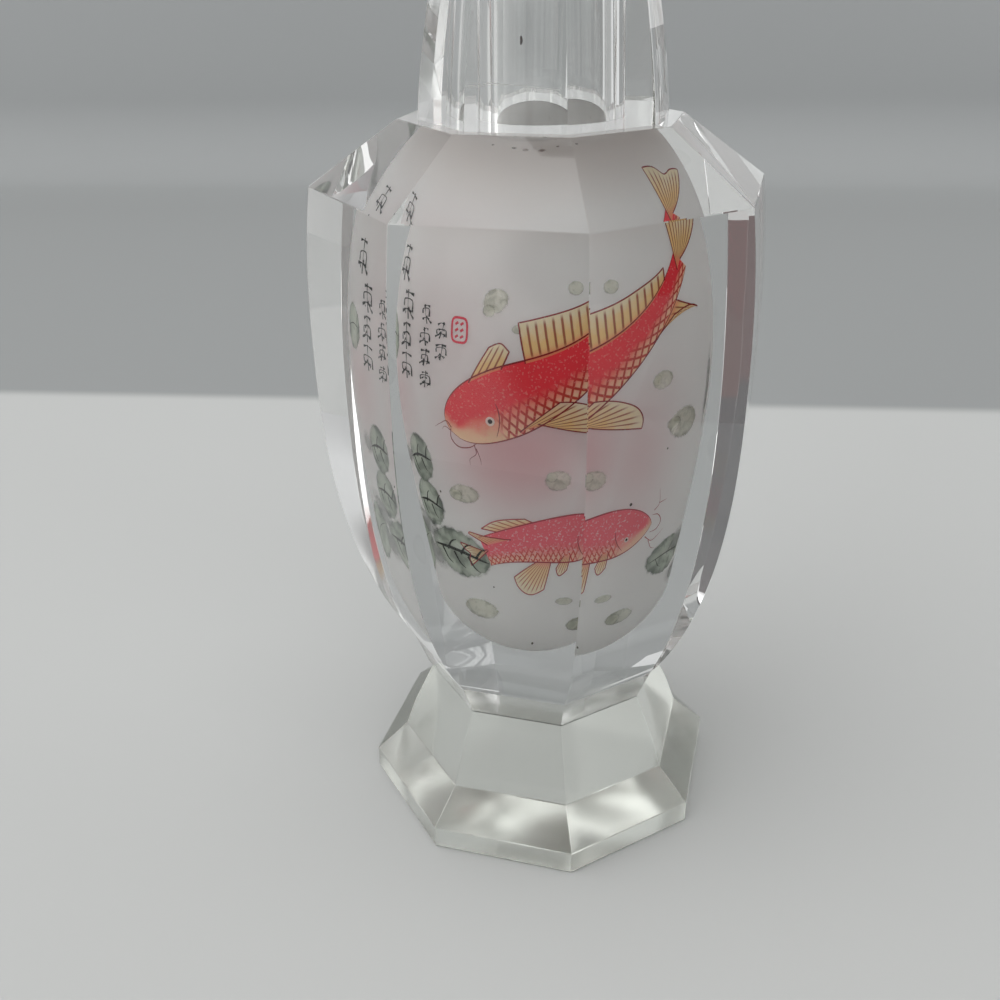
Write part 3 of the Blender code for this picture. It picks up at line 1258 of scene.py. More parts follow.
@dataclass(frozen=True)
class Carp:
    """A painted carp.

    Attributes:
        name: What its pieces are called.
        spine: Four places (turn, height) whose cubic runs from snout to tail root.
        depth: Its half depth in mm.
        tail_depth: The tail root's half depth as a share of it.
        back: +1 or -1: the side of the spine, seen from the snout, that the back is on.
        colours: What it is painted with.
        fins: Its fins, tail first.
        eye: The eye's place as shares (snout to tail, belly -1 to back +1).
        eye_size: The eye's radius in mm.
        snout: 0.45 for a blunt snout; more is more pointed.
    """

    name: str
    spine: Sequence[Place]
    depth: float
    tail_depth: float
    back: float
    colours: CarpColours
    fins: Sequence[Fin]
    eye: Place
    eye_size: float
    snout: float = 0.45

    def middle(self, wall: CavityWall, s: np.ndarray) -> tuple[np.ndarray, np.ndarray]:
        """Points of the spine's cubic at shares s, and the direction to the back there, flat and in mm.

        Args:
            wall: The wall it is painted on.
            s: Shares from snout to tail.

        Returns:
            The points and the directions.
        """
        a, b, c, d = np.array(self.spine, float) * (wall.degree, 1.0)
        t = s[:, None]
        points = a * (1 - t) ** 3 + 3 * b * t * (1 - t) ** 2 + 3 * c * t**2 * (1 - t) + d * t**3
        along = 3 * ((b - a) * (1 - t) ** 2 + 2 * (c - b) * t * (1 - t) + (d - c) * t**2)
        along /= np.linalg.norm(along, axis=1, keepdims=True)
        return points, self.back * np.stack([-along[:, 1], along[:, 0]], -1)

    def half_depth(self, s: np.ndarray) -> np.ndarray:
        """A round snout that is deepest at a third of the length, then a smooth taper to the tail root.

        Args:
            s: Shares from snout to tail.

        Returns:
            Half depths in millimetres.
        """
        fullest = 0.36
        head = np.clip(1 - (1 - s / fullest) ** 2, 0, 1) ** self.snout
        t = np.clip((s - fullest) / (1 - fullest), 0, 1)
        taper = 1 + (self.tail_depth - 1) * (3 * t**2 - 2 * t**3) ** 0.9
        return self.depth * np.where(s < fullest, head, taper)

    def at(self, wall: CavityWall, s: np.ndarray, side: float) -> np.ndarray:
        """Flat points at shares s along the body and side (-1 belly, +1 back) across it."""
        points, up = self.middle(wall, s)
        return points + side * self.half_depth(s)[:, None] * up

    def body(self, wall: CavityWall) -> Sheet:
        """The body: each point stands side x half depth off the spine.

        Args:
            wall: The wall it is painted on.

        Returns:
            A surface whose flat places are (snout to tail, belly to back).
        """
        s = np.linspace(0.002, 1, 90)
        sides = np.linspace(-1, 1, 25)
        points, up = self.middle(wall, s)
        flat = points[:, None] + (self.half_depth(s)[:, None] * sides)[..., None] * up[:, None]
        shares = np.stack(np.broadcast_arrays(s[:, None], (sides + 1) / 2), -1)
        if self.back > 0:
            flat, shares = flat[:, ::-1], shares[:, ::-1]
        return Sheet.of_grid(wall.lay(flat, Layer.BODY.value), shares)

    def fan(self, wall: CavityWall, fin: Fin) -> np.ndarray:
        """A fin's rays as a flat grid, root to edge by first ray to last.

        Args:
            wall: The wall it is painted on.
            fin: The fin.

        Returns:
            An array of places, root to edge by ray.
        """
        v = np.linspace(0, 1, 6 * fin.rays + 1)
        roots = self.at(wall, fin.start + (fin.end - fin.start) * v, fin.side)
        lean = np.radians(fin.heading + fin.spread * (1 - 2 * v))
        shape = smooth_path(np.stack([np.linspace(0, 1, len(fin.shape)), fin.shape], -1), 12)
        length = fin.length * np.interp(v, shape[:, 0], shape[:, 1])
        out = np.linspace(0, 1, 11)[:, None, None]
        bend = np.stack([-np.sin(lean), np.cos(lean)], -1) * (0.10 * length * (v - 0.5))[:, None]
        ray = np.stack([np.cos(lean), np.sin(lean)], -1) * length[:, None]
        return roots[None] + out * ray[None] + out**2 * bend[None]

    def fin_sheet(self, wall: CavityWall, fin: Fin) -> Sheet:
        """A fin's surface, whose flat places are (root to edge, ray number).

        Args:
            wall: The wall it is painted on.
            fin: The fin.

        Returns:
            The surface.
        """
        flat = self.fan(wall, fin)
        rows, columns = flat.shape[:2]
        out = np.linspace(0, 1, rows)[:, None]
        count = np.linspace(0, fin.rays, columns)
        shares = np.stack(np.broadcast_arrays(out, count), -1)
        return Sheet.of_grid(wall.lay(flat, Layer.FIN.value), shares)

    def outlines(self, wall: CavityWall) -> list[Sheet]:
        """Lines round the body, the gill cover and each fin.

        Args:
            wall: The wall they are painted on.

        Returns:
            A ribbon for each line.
        """
        s = np.linspace(0.0, 1.0, 60)
        lines = [ribbon(self.at(wall, s, side), 0.32, Tip.POINTED, wall, Layer.INK) for side in (-1.0, 1.0)]
        side = np.linspace(-0.85, 0.1, 16)
        gill = np.concatenate([self.at(wall, np.array([0.32 - 0.09 * k**2]), k) for k in side])
        lines.append(ribbon(gill, 0.22, Tip.POINTED, wall, Layer.INK))
        for fin in self.fins:
            flat = self.fan(wall, fin)
            rim = np.vstack([flat[:, 0], flat[-1, 1:-1], flat[::-1, -1]])
            lines.append(ribbon(rim, 0.27, Tip.EVEN, wall, Layer.INK))
        return lines

    def eye_spot(self, wall: CavityWall, size: float, layer: Layer) -> Sheet:
        """A round spot at the eye.

        Args:
            wall: The wall it is painted on.
            size: Its radius in millimetres.
            layer: How deep it lies.

        Returns:
            The spot.
        """
        round_places = disc(1.0, 4, 24)
        flat = self.at(wall, np.array([self.eye[0]]), self.eye[1]) + size * round_places
        shares = round_places / DISC_SPAN + 0.5
        return Sheet.of_grid(wall.lay(flat[::-1], layer.value), shares[::-1], closed=True)

    def build(self, wall: CavityWall, whiskers: Sequence[Stroke]) -> list[bpy.types.Object]:
        """Paints the carp: body, fins, lines, and the eye's ring and pupil.

        Args:
            wall: The wall it is painted on.
            whiskers: Its whiskers.

        Returns:
            Its pieces.
        """
        fins = Sheet.joined([self.fin_sheet(wall, fin) for fin in self.fins])
        lines = self.outlines(wall) + [whisker.sheet(wall, Layer.INK) for whisker in whiskers]
        line = Ink(f"{self.name}_line", self.colours.line)
        eye = self.eye_spot(wall, self.eye_size, Layer.EYE)
        pupil = self.eye_spot(wall, self.eye_size / 2, Layer.PUPIL)
        return [
            self.body(wall).make(f"{self.name}_body", self.colours.skin()),
            fins.make(f"{self.name}_fins", self.colours.fins()),
            Sheet.joined(lines).make(f"{self.name}_lines", line.material()),
            eye.make(f"{self.name}_eye", plain(f"{self.name}_eye_white", EYE_WHITE)),
            pupil.make(f"{self.name}_pupil", plain(f"{self.name}_pupil", EYE_BLACK)),
        ]


def plain(name: str, colour: Colour) -> bpy.types.Material:
    """A solid spot of one colour."""
    return Recipe.material(name).thin_paint(colour)


RED_CARP = Carp(
    name="red_carp",
    spine=((-24.8, 92.9), (-8.5, 100.6), (31.5, 100.0), (71.0, 120.0)),
    depth=6.2,
    tail_depth=0.34,
    back=1.0,
    colours=CarpColours(
        name="red_carp",
        back=(0.90, 0.05, 0.07),
        flank=(0.94, 0.70, 0.46),
        net=(0.55, 0.03, 0.02),
        speck=(0.95, 0.40, 0.36),
        fin=(0.93, 0.66, 0.30),
        fin_edge=(0.94, 0.84, 0.62),
        ray=(0.36, 0.07, 0.03),
        line=(0.30, 0.012, 0.02),
        scaled_up_to=0.36,
        speckled=0.5,
    ),
    fins=(
        Fin(0.975, 1.0, 0.0, 62.0, 38.0, 10.6, (1.0, 0.92, 0.78, 0.92, 1.08), 9),
        Fin(0.50, 0.93, 0.9, 96.0, 8.0, 6.6, (1.0, 0.93, 0.80, 0.62, 0.30), 14),
        Fin(0.24, 0.40, 0.92, 62.0, 0.0, 7.4, (1.0, 0.85, 0.45), 4),
        Fin(0.37, 0.45, -0.9, 14.0, 27.0, 14.4, (0.62, 0.74, 0.86, 0.97, 1.0, 0.96), 8),
        Fin(0.80, 0.92, -0.9, 8.0, 30.0, 8.4, (0.75, 1.0, 1.0, 0.85), 6),
    ),
    eye=(0.26, -0.34),
    eye_size=0.85,
)

PINK_CARP = Carp(
    name="pink_carp",
    spine=((60.5, 73.6), (38.0, 74.0), (9.5, 73.6), (-13.0, 69.6)),
    depth=4.95,
    tail_depth=0.62,
    back=-1.0,
    colours=CarpColours(
        name="pink_carp",
        back=(0.90, 0.17, 0.22),
        flank=(0.93, 0.66, 0.50),
        net=(0.66, 0.08, 0.06),
        speck=(0.95, 0.62, 0.62),
        fin=(0.93, 0.70, 0.42),
        fin_edge=(0.94, 0.86, 0.66),
        ray=(0.50, 0.13, 0.07),
        line=(0.42, 0.03, 0.05),
        scaled_up_to=0.30,
        speckled=0.9,
    ),
    fins=(
        Fin(0.97, 1.0, 0.0, 196.0, 26.0, 6.5, (1.0, 0.86, 0.7, 0.86, 1.0), 9),
        Fin(0.62, 0.86, 1.0, 168.0, -6.0, 4.4, (0.4, 0.9, 0.8), 6),
        Fin(0.78, 0.96, 0.35, 170.0, 14.0, 6.0, (0.6, 0.95, 1.0, 0.8), 7),
        Fin(0.52, 0.62, -0.95, 236.0, 24.0, 8.4, (0.75, 1.0, 0.98, 0.8), 9),
        Fin(0.37, 0.42, -0.7, 250.0, 14.0, 4.6, (0.7, 1.0, 0.7), 5),
    ),
    eye=(0.225, -0.42),
    eye_size=0.55,
    snout=0.75,
)

RED_WHISKERS = (
    Stroke(((-24.5, 93.6), (-27.0, 94.6), (-30.5, 93.9), (-34.0, 93.0)), 0.24, Tip.TRAILING),
    Stroke(((-25.0, 93.0), (-28.0, 93.5), (-30.0, 92.8)), 0.2, Tip.TRAILING),
    Stroke(((-24.6, 93.8), (-25.0, 91.6), (-21.5, 90.2), (-16.0, 90.4), (-12.0, 91.4)), 0.26),
    Stroke(((-13.5, 91.2), (-12.8, 89.4), (-16.0, 88.2), (-16.0, 87.0)), 0.22, Tip.TRAILING),
    Stroke(((-12.6, 90.4), (-11.0, 88.6), (-10.6, 87.4)), 0.2, Tip.TRAILING),
)

PINK_WHISKERS = (
    Stroke(((60.0, 75.4), (64.5, 75.0), (67.5, 73.4), (65.0, 72.0), (60.0, 71.8)), 0.22),
    Stroke(((61.0, 76.2), (64.0, 77.4), (62.6, 80.4)), 0.2, Tip.TRAILING),
    Stroke(((64.0, 77.4), (69.5, 77.6)), 0.18, Tip.TRAILING),
    Stroke(((57.0, 71.2), (62.0, 69.9), (66.0, 70.2), (71.5, 71.4)), 0.22, Tip.TRAILING),
    Stroke(((60.0, 70.2), (63.0, 68.4), (66.5, 67.8)), 0.2, Tip.TRAILING),
)


@dataclass(frozen=True)
class Leaf:
    """A floating leaf: its patch, and how its midrib leans."""

    patch: Patch
    veins: int
    rib: float = 0.3

    def ribs(self, wall: CavityWall) -> list[Sheet]:
        """A midrib along the leaf and short side veins that lean back from it.

        Args:
            wall: The wall they are painted on.

        Returns:
            A ribbon for each rib or vein.
        """
        middle = np.array(self.patch.middle) * (wall.degree, 1.0)
        tilt = math.radians(self.patch.tilt)
        along = np.array([math.cos(tilt), math.sin(tilt)])
        up = np.array([-math.sin(tilt), math.cos(tilt)])
        length, height = self.patch.half_length, self.patch.half_height
        t = np.linspace(-0.85, 0.92, 14)
        rib = middle + np.outer(t * length, along) + np.outer(0.12 * height * np.cos(2.2 * t), up)
        lines = [ribbon(rib, self.rib, Tip.POINTED, wall, Layer.INK)]
        for number, place in enumerate(np.linspace(-0.55, 0.55, self.veins)):
            side = 1 if number % 2 else -1
            root = middle + place * length * along
            tip = root + 0.34 * length * along + side * 0.55 * height * up
            path = smooth_path(np.array([root, (root + tip) / 2 + 0.12 * height * side * up, tip]), 6)
            lines.append(ribbon(path, self.rib * 0.9, Tip.TRAILING, wall, Layer.INK))
        return lines


LEAVES = (
    Leaf(Patch((-50.5, 85.4), 4.7, 4.7, 8.0), 4, 0.62),
    Leaf(Patch((-49.0, 76.6), 5.3, 4.7, 0.0), 4, 0.6),
    Leaf(Patch((-32.0, 67.9), 9.5, 5.1, -4.0, 0.2), 6, 0.8),
    Leaf(Patch((-75.0, 105.6), 4.6, 4.2, 10.0), 2, 0.24),
    Leaf(Patch((-74.0, 66.0), 8.0, 5.6, 30.0), 0, 0.2),
    Leaf(Patch((82.0, 64.8), 8.6, 3.9, 0.0, 0.1), 3, 0.3),
    Leaf(Patch((152.0, 74.0), 7.0, 3.8, -8.0, 0.2), 4, 0.3),
    Leaf(Patch((-140.0, 88.0), 6.0, 3.6, 12.0, 0.2), 3, 0.28),
)

SHADE_PATCHES = (
    Patch((-66.0, 84.6), 4.0, 2.6, 12.0),
    Patch((-60.0, 72.0), 7.5, 3.0, -14.0),
    Patch((-54.0, 66.0), 6.0, 3.4, -10.0),
    Patch((95.0, 66.6), 6.5, 3.0, 4.0),
    Patch((104.0, 59.4), 7.0, 2.8, 0.0),
    Patch((97.0, 96.0), 1.6, 9.0, 0.0),
)

DUCKWEED = (
    Patch((-3.6, 116.0), 2.5, 1.9, 20.0),
    Patch((-6.4, 114.4), 1.2, 1.0, 0.0),
    Patch((7.0, 111.9), 1.5, 0.8, 10.0),
    Patch((31.5, 118.0), 1.6, 1.1, 0.0),
    Patch((57.5, 101.4), 2.5, 1.7, 0.0),
    Patch((54.5, 101.5), 1.0, 1.0, 0.0),
    Patch((74.0, 92.0), 4.6, 3.0, -6.0),
    Patch((66.5, 92.6), 2.0, 1.2, 0.0),
    Patch((24.5, 85.3), 2.7, 2.0, 0.0),
    Patch((21.5, 86.0), 1.2, 1.0, 0.0),
    Patch((-21.5, 80.9), 3.6, 1.9, 4.0),
    Patch((-26.5, 80.4), 1.8, 1.2, 0.0),
    Patch((-21.0, 56.4), 5.4, 2.3, 0.0),
    Patch((33.5, 60.0), 2.6, 0.85, 0.0),
    Patch((48.0, 54.6), 4.8, 1.7, 0.0),
    Patch((43.0, 54.4), 2.4, 1.3, 0.0),
    Patch((132.0, 104.0), 3.0, 1.8, 0.0),
    Patch((176.0, 97.0), 4.0, 2.2, 6.0),
    Patch((-116.0, 70.0), 3.6, 1.9, 0.0),
    Patch((-168.0, 60.0), 4.4, 1.8, 0.0),
)

SPECKS = (
    Patch((45.0, 79.0), 0.28, 0.28),
    Patch((15.0, 49.0), 0.35, 0.35),
    Patch((-37.0, 80.0), 0.2, 0.2),
    Patch((64.0, 88.0), 0.16, 0.16),
    Patch((-10.0, 62.0), 0.15, 0.15),
)


@dataclass(frozen=True)
class BrushColumn:
    """A column of brush marks: its turn, its marks' heights, and their size and line width in mm."""

    turn: float
    heights: Sequence[float]
    size: float
    width: float


@dataclass(frozen=True)
class BrushMarks:
    """Columns of marks that say nothing: each mark is a handful of strokes laid across one another."""

    columns: tuple[BrushColumn, ...] = (
        BrushColumn(-62.5, (118.6,), 5.6, 0.8),
        BrushColumn(-53.6, (112.6, 107.4, 102.3), 4.6, 0.62),
        BrushColumn(-38.5, (112.2, 108.5, 105.0, 101.2), 3.0, 0.48),
        BrushColumn(-28.6, (110.2, 106.6), 2.8, 0.44),
    )
    seed: int = 23
    spread: float = 1.12

    def mark(self, draw: np.random.Generator, size: float) -> list[np.ndarray]:
        """Paths of one mark: level bars, a falling stroke, an arch, a cast-off and a dab.

        Args:
            draw: Where the random shares come from.
            size: The mark's height in millimetres.

        Returns:
            The paths, each about the middle of the mark.
        """
        half = size / 2
        paths = []
        for level in np.linspace(0.8, -0.5, int(draw.integers(2, 4))):
            reach = half * draw.uniform(0.35, 0.85)
            rise = half * draw.uniform(0.04, 0.22)
            shift = half * draw.uniform(-0.2, 0.2)
            height = half * (level + draw.uniform(-0.08, 0.08))
            bar = [[shift - reach, height - rise], [shift, height + rise / 2], [shift + reach, height]]
            paths.append(np.array(bar))
        lean = half * draw.uniform(-0.35, 0.35)
        paths.append(np.array([[lean, half], [lean * 0.4, 0.1 * half], [-lean, -half]]))
        brow = half * draw.uniform(-0.1, 0.5)
        wide = half * draw.uniform(0.5, 0.8)
        across = wide * np.array([-1.0, -0.9, 0.8, 1.0])
        paths.append(np.stack([across, brow + half * np.array([-0.5, 0.0, 0.1, -0.7])], -1))
        side = float(draw.choice((-1.0, 1.0)))
        paths.append(half * np.array([[0.1 * side, -0.2], [0.45 * side, -0.55], [0.95 * side, -0.85]]))
        paths.append(half * np.array([[-0.5 * side, -0.5], [-0.42 * side, -0.62], [-0.3 * side, -0.66]]))
        return [path * (self.spread, 1.0) for path in paths]

    def sheet(self, wall: CavityWall) -> Sheet:
        """All the columns' strokes.

        Args:
            wall: The wall they are painted on.

        Returns:
            One surface.
        """
        draw = np.random.default_rng(self.seed)
        strokes = []
        for column in self.columns:
            for height in column.heights:
                middle = np.array([column.turn * wall.degree, height])
                for path in self.mark(draw, column.size):
                    width = column.width * draw.uniform(0.65, 1.1)
                    curve = middle + smooth_path(path, 6)
                    strokes.append(ribbon(curve, width, Tip.PRESSED, wall, Layer.INK))
        return Sheet.joined(strokes)


@dataclass(frozen=True)
class SealMark:
    """A red seal that says nothing: a rounded frame with rows of slanted dashes in it, in mm."""

    middle: Place = (-19.5, 110.8)
    half_width: float = 1.55
    half_height: float = 2.0
    line: float = 0.46

    def sheet(self, wall: CavityWall) -> Sheet:
        """The frame is a superellipse of power 4, and the dashes all lean the same way inside it.

        Args:
            wall: The wall it is painted on.

        Returns:
            One surface.
        """
        middle = np.array(self.middle) * (wall.degree, 1.0)
        angle = np.linspace(0, 2 * np.pi, 41)
        x = np.sign(np.cos(angle)) * np.abs(np.cos(angle)) ** 0.5 * self.half_width
        y = np.sign(np.sin(angle)) * np.abs(np.sin(angle)) ** 0.5 * self.half_height
        paths = [np.stack([x, y], -1)]
        dash = np.array([[-0.30, -0.20], [0.0, 0.02], [0.30, 0.20]])
        paths += [dash + (place, level) for level in (1.05, 0.0, -1.05) for place in (-0.55, 0.5)]
        ribbons = [ribbon(middle + path, self.line, Tip.EVEN, wall, Layer.INK) for path in paths]
        return Sheet.joined(ribbons)


@dataclass(frozen=True)
class Bore:
    """The straight bore as a wall to mark, in millimetres."""

    radius: float
    degree: float = 1.0

    def lay(self, sheet: np.ndarray, lift: float) -> np.ndarray:
        """Lays (turn, height) points just inside the glass.

        Args:
            sheet: Turns in degrees and heights in millimetres.
            lift: How far into the glass, in millimetres.

        Returns:
            Points in metres.
        """
        turn = np.radians(sheet[..., 0])
        radius = self.radius + lift
        return np.stack([radius * np.sin(turn), -radius * np.cos(turn), sheet[..., 1]], -1) * MM


@dataclass(frozen=True)
class Pane:
    """The neck's front flat as a wall to mark: it stands so far out at one height and leans in above it."""

    distance: float = 20.02
    height: float = 146.0
    lean: float = 0.12
    degree: float = 1.0

    def lay(self, sheet: np.ndarray, lift: float) -> np.ndarray:
        """Lays (across, height) points just inside the glass."""
        across, height = sheet[..., 0], sheet[..., 1]
        return np.stack([across, self.lean * (height - self.height) + lift - self.distance, height], -1) * MM


# Painted highlight: white lines in the neck's front that stand for the glint of the joint's back edge.
PAINTED_GLINT_LINES = (
    Stroke(((-8.1, 148.1), (-5.6, 148.2), (-4.1, 148.5), (0.7, 148.25), (7.0, 147.7)), 0.13, Tip.EVEN),
    Stroke(((-8.0, 147.9), (-6.0, 147.9)), 0.1, Tip.TRAILING),
)

DRIPS = (
    Stroke(((198.2, 140.6), (198.5, 139.2), (198.3, 137.9)), 0.34, Tip.TRAILING),
    Stroke(((152.0, 140.6), (154.0, 139.6), (151.2, 138.4)), 0.5, Tip.TRAILING),
    Stroke(((141.0, 139.4), (143.5, 138.6)), 0.4, Tip.TRAILING),
    Stroke(((232.0, 138.4), (229.0, 138.0)), 0.3, Tip.TRAILING),
)

PANE_SPECK = Stroke(((0.6, 155.3), (0.7, 154.6), (0.6, 154.0)), 0.5, Tip.POINTED)

RESIDUE = (
    Patch((-6.0, 133.5), 1.1, 0.20, 0.0),
    Patch((3.0, 133.3), 1.3, 0.16, 0.1),
    Patch((9.0, 133.6), 0.7, 0.18, 0.0),
    Patch((15.0, 133.2), 1.4, 0.2, -0.1),
    Patch((27.0, 133.5), 0.7, 0.16, 0.0),
    Patch((-24.0, 133.5), 0.6, 0.18, 0.0),
)


@dataclass(frozen=True)
class WearAndGlints:
    """Small marks: painted glint lines and a speck in the neck's front, drips and residue where it meets the
    body.
    """

    # Painted highlight: the white of the glint lines.
    glint_line: Ink = Ink("painted_glint_white", (0.95, 0.95, 0.93), 0.9)
    brown: Ink = Ink("residue_brown", (0.07, 0.045, 0.04), 0.9)
    stain: Wash = Wash("residue_wash", (0.40, 0.30, 0.27), (0.09, 0.06, 0.05), 0.75, 1500.0, 0.6)

    def build(self, wall: CavityWall) -> list[bpy.types.Object]:
        """Lays the marks just inside the glass.

        Args:
            wall: The cavity whose mouth is stained.

        Returns:
            The pieces.
        """
        pane = Pane()
        drips = laid(DRIPS, Bore(wall.mouth_radius), Layer.INK)
        brown = Sheet.joined([drips, PANE_SPECK.sheet(pane, Layer.INK)])
        return [
            laid(PAINTED_GLINT_LINES, pane, Layer.INK).make("neck_painted_glints", self.glint_line.material()),
            brown.make("neck_residue", self.brown.material()),
            laid(RESIDUE, wall, Layer.WASH).make("mouth_residue", self.stain.material()),
        ]


@dataclass(frozen=True)
class Pond:
    """Everything painted on the frost besides the carp."""

    leaf: Wash = Wash("leaf_wash", (0.62, 0.69, 0.58), (0.13, 0.16, 0.13), 0.9, 330.0, 0.16)
    shade: Wash = Wash("shade_wash", (0.46, 0.47, 0.45), (0.20, 0.21, 0.20), 0.7, 420.0, 0.7)
    weed: Wash = Wash("duckweed_wash", (0.84, 0.84, 0.72), (0.34, 0.35, 0.28), 0.72, 760.0, 0.2)
    ink: Ink = Ink("black_ink", (0.008, 0.009, 0.008), 0.98)
    leaf_ink: Ink = Ink("leaf_ink", (0.015, 0.02, 0.015), 0.95)
    seal: Ink = Ink("seal_red", (0.70, 0.015, 0.06), 0.95)

    def build(self, wall: CavityWall) -> list[bpy.types.Object]:
        """Paints the leaves, shades, duckweed, brush marks, seal and specks.

        Args:
            wall: The wall it is painted on.

        Returns:
            The pieces.
        """
        leaves = [leaf.patch for leaf in LEAVES]
        ribs = [line for leaf in LEAVES for line in leaf.ribs(wall)]
        return [
            laid(leaves, wall, Layer.WASH).make("leaf_washes", self.leaf.material()),
            laid(SHADE_PATCHES, wall, Layer.BODY).make("shade_washes", self.shade.material()),
            laid(DUCKWEED, wall, Layer.WASH).make("duckweed_washes", self.weed.material()),
            Sheet.joined(ribs).make("leaf_ribs", self.leaf_ink.material()),
            BrushMarks().sheet(wall).make("brush_marks", self.ink.material()),
            SealMark().sheet(wall).make("seal_mark", self.seal.material()),
            laid(SPECKS, wall, Layer.WASH).make("wall_specks", plain("speck_brown", SPECK_BROWN)),
        ]


# --- Studio ---------------------------------------------------------------------------------------


def direction(turn: float, elevation: float) -> Vector:
    """The unit vector at a turn from the front towards +X and an elevation, in degrees.

    Args:
        turn: The turn from the front.
        elevation: The angle above the level.

    Returns:
        The unit vector.
    """
    round_axis, up = math.radians(turn), math.radians(elevation)
    level = math.cos(up)
    return Vector((math.sin(round_axis) * level, -math.cos(round_axis) * level, math.sin(up)))


@dataclass(frozen=True)
class SoftBox:
    """The soft square light overhead: its direction in degrees, distance and side in metres, and power."""

    turn: float = -20.0
    elevation: float = 78.0
    distance: float = 1.1
    side: float = 0.9
    power: float = 2.0

    def build(self, aim: Vector) -> None:
        """Hangs the light, facing the vase.

        Args:
            aim: The point that it faces.
        """
        lamp = bpy.data.lights.new("overhead_box", "AREA")
        lamp.size = self.side
        lamp.energy = self.power
        towards = direction(self.turn, self.elevation)
        made = bpy.data.objects.new("overhead_box", lamp)
        made.location = aim + towards * self.distance
        made.rotation_euler = (-towards).to_track_quat("-Z", "Y").to_euler()
        bpy.context.scene.collection.objects.link(made)


@dataclass(frozen=True)
class Side:
    """A side of the room: its direction (turn, elevation), half width in degrees and colour.

    It has its full colour out to the share `full` of its half width, and fades out from there.
    """

    turn: float
    elevation: float
    half_width: float
    colour: Colour
    full: float = 0.65


@dataclass(frozen=True)
class Surround:
    """The pale room around the stand, brightest in front."""

    pale: Colour = (0.76, 0.77, 0.775)
    sides: tuple[Side, ...] = (
        Side(180.0, 52.0, 44.0, (0.50, 0.505, 0.51), 0.6),
        Side(0.0, 56.0, 66.0, (1.4, 1.4, 1.4), 0.55),
        Side(-54.0, 12.0, 52.0, (1.85, 1.85, 1.83), 0.6),
        Side(-20.0, -65.0, 62.0, (1.0, 1.0, 0.99), 0.85),
        Side(-96.0, -12.0, 20.0, (0.28, 0.285, 0.28)),
        Side(120.0, -16.0, 20.0, (0.42, 0.43, 0.425)),
        Side(52.0, 24.0, 18.0, (0.24, 0.235, 0.235)),
        Side(52.0, -4.0, 18.0, (0.27, 0.27, 0.275)),
        *(Side(-3.0, elevation, 13.0, DUSK, 0.8) for elevation in (46.0, 30.0, 14.0, -2.0)),
        Side(-3.0, -17.0, 13.0, (0.18, 0.145, 0.145), 0.8),
        *(Side(84.0, elevation, 13.0, DUSK, 0.8) for elevation in (54.0, 38.0, 22.0)),
        *(Side(84.0, elevation, 13.0, (0.185, 0.148, 0.146), 0.92) for elevation in (0.0, -17.0)),
    )

    def build(self) -> None:
        """Makes the world: each side lies over the ones before it."""
        recipe = Recipe(bpy.data.worlds.new("surround"))
        colour: Any = self.pale
        for side in self.sides:
            facing = recipe.node(
                "ShaderNodeVectorMath",
                {"operation": "DOT_PRODUCT"},
                {0: recipe.coordinate("Generated"), 1: direction(side.turn, side.elevation)},
            )
            near = Value(recipe, facing.outputs["Value"])
            edges = [math.cos(math.radians(side.half_width * share)) for share in (1.0, side.full)]
            colour = recipe.blend(near.rise(*edges), colour, side.colour)
        background = recipe.node("ShaderNodeBackground", {}, {"Color": colour, "Strength": 1.0})
        recipe.node("ShaderNodeOutputWorld", {}, {"Surface": background.outputs[0]})
        bpy.context.scene.world = recipe.owner


@dataclass(frozen=True)
class Viewpoint:
    """The camera: its stand, and how it is turned from facing the axis, in millimetres and degrees."""

    distance: float = 193.8
    height: float = 167.6
    heading: float = 13.25
    yaw: float = -2.6247
    pitch: float = 27.65
    roll: float = -0.9464
    lens: float = 38.16

    def build(self) -> None:
        """Puts up the camera."""
        data = bpy.data.cameras.new("viewpoint")
        data.lens = self.lens
        data.sensor_width = 36.0
        camera = bpy.data.objects.new("viewpoint", data)
        yaw, pitch, roll = (math.radians(a) for a in (self.yaw, self.pitch, self.roll))
        ahead = Vector((math.sin(yaw) * math.cos(pitch), math.cos(yaw) * math.cos(pitch), -math.sin(pitch)))
        level = Vector((math.cos(yaw), -math.sin(yaw), 0.0))
        upright = level.cross(ahead)
        right = math.cos(roll) * level + math.sin(roll) * upright
        top = math.cos(roll) * upright - math.sin(roll) * level
        facing = Matrix((right, top, -ahead)).transposed().to_4x4()
        stand = Matrix.Translation((0.0, -self.distance * MM, self.height * MM))
        camera.matrix_world = Matrix.Rotation(math.radians(self.heading), 4, "Z") @ stand @ facing
        bpy.context.scene.collection.objects.link(camera)
        bpy.context.scene.camera = camera


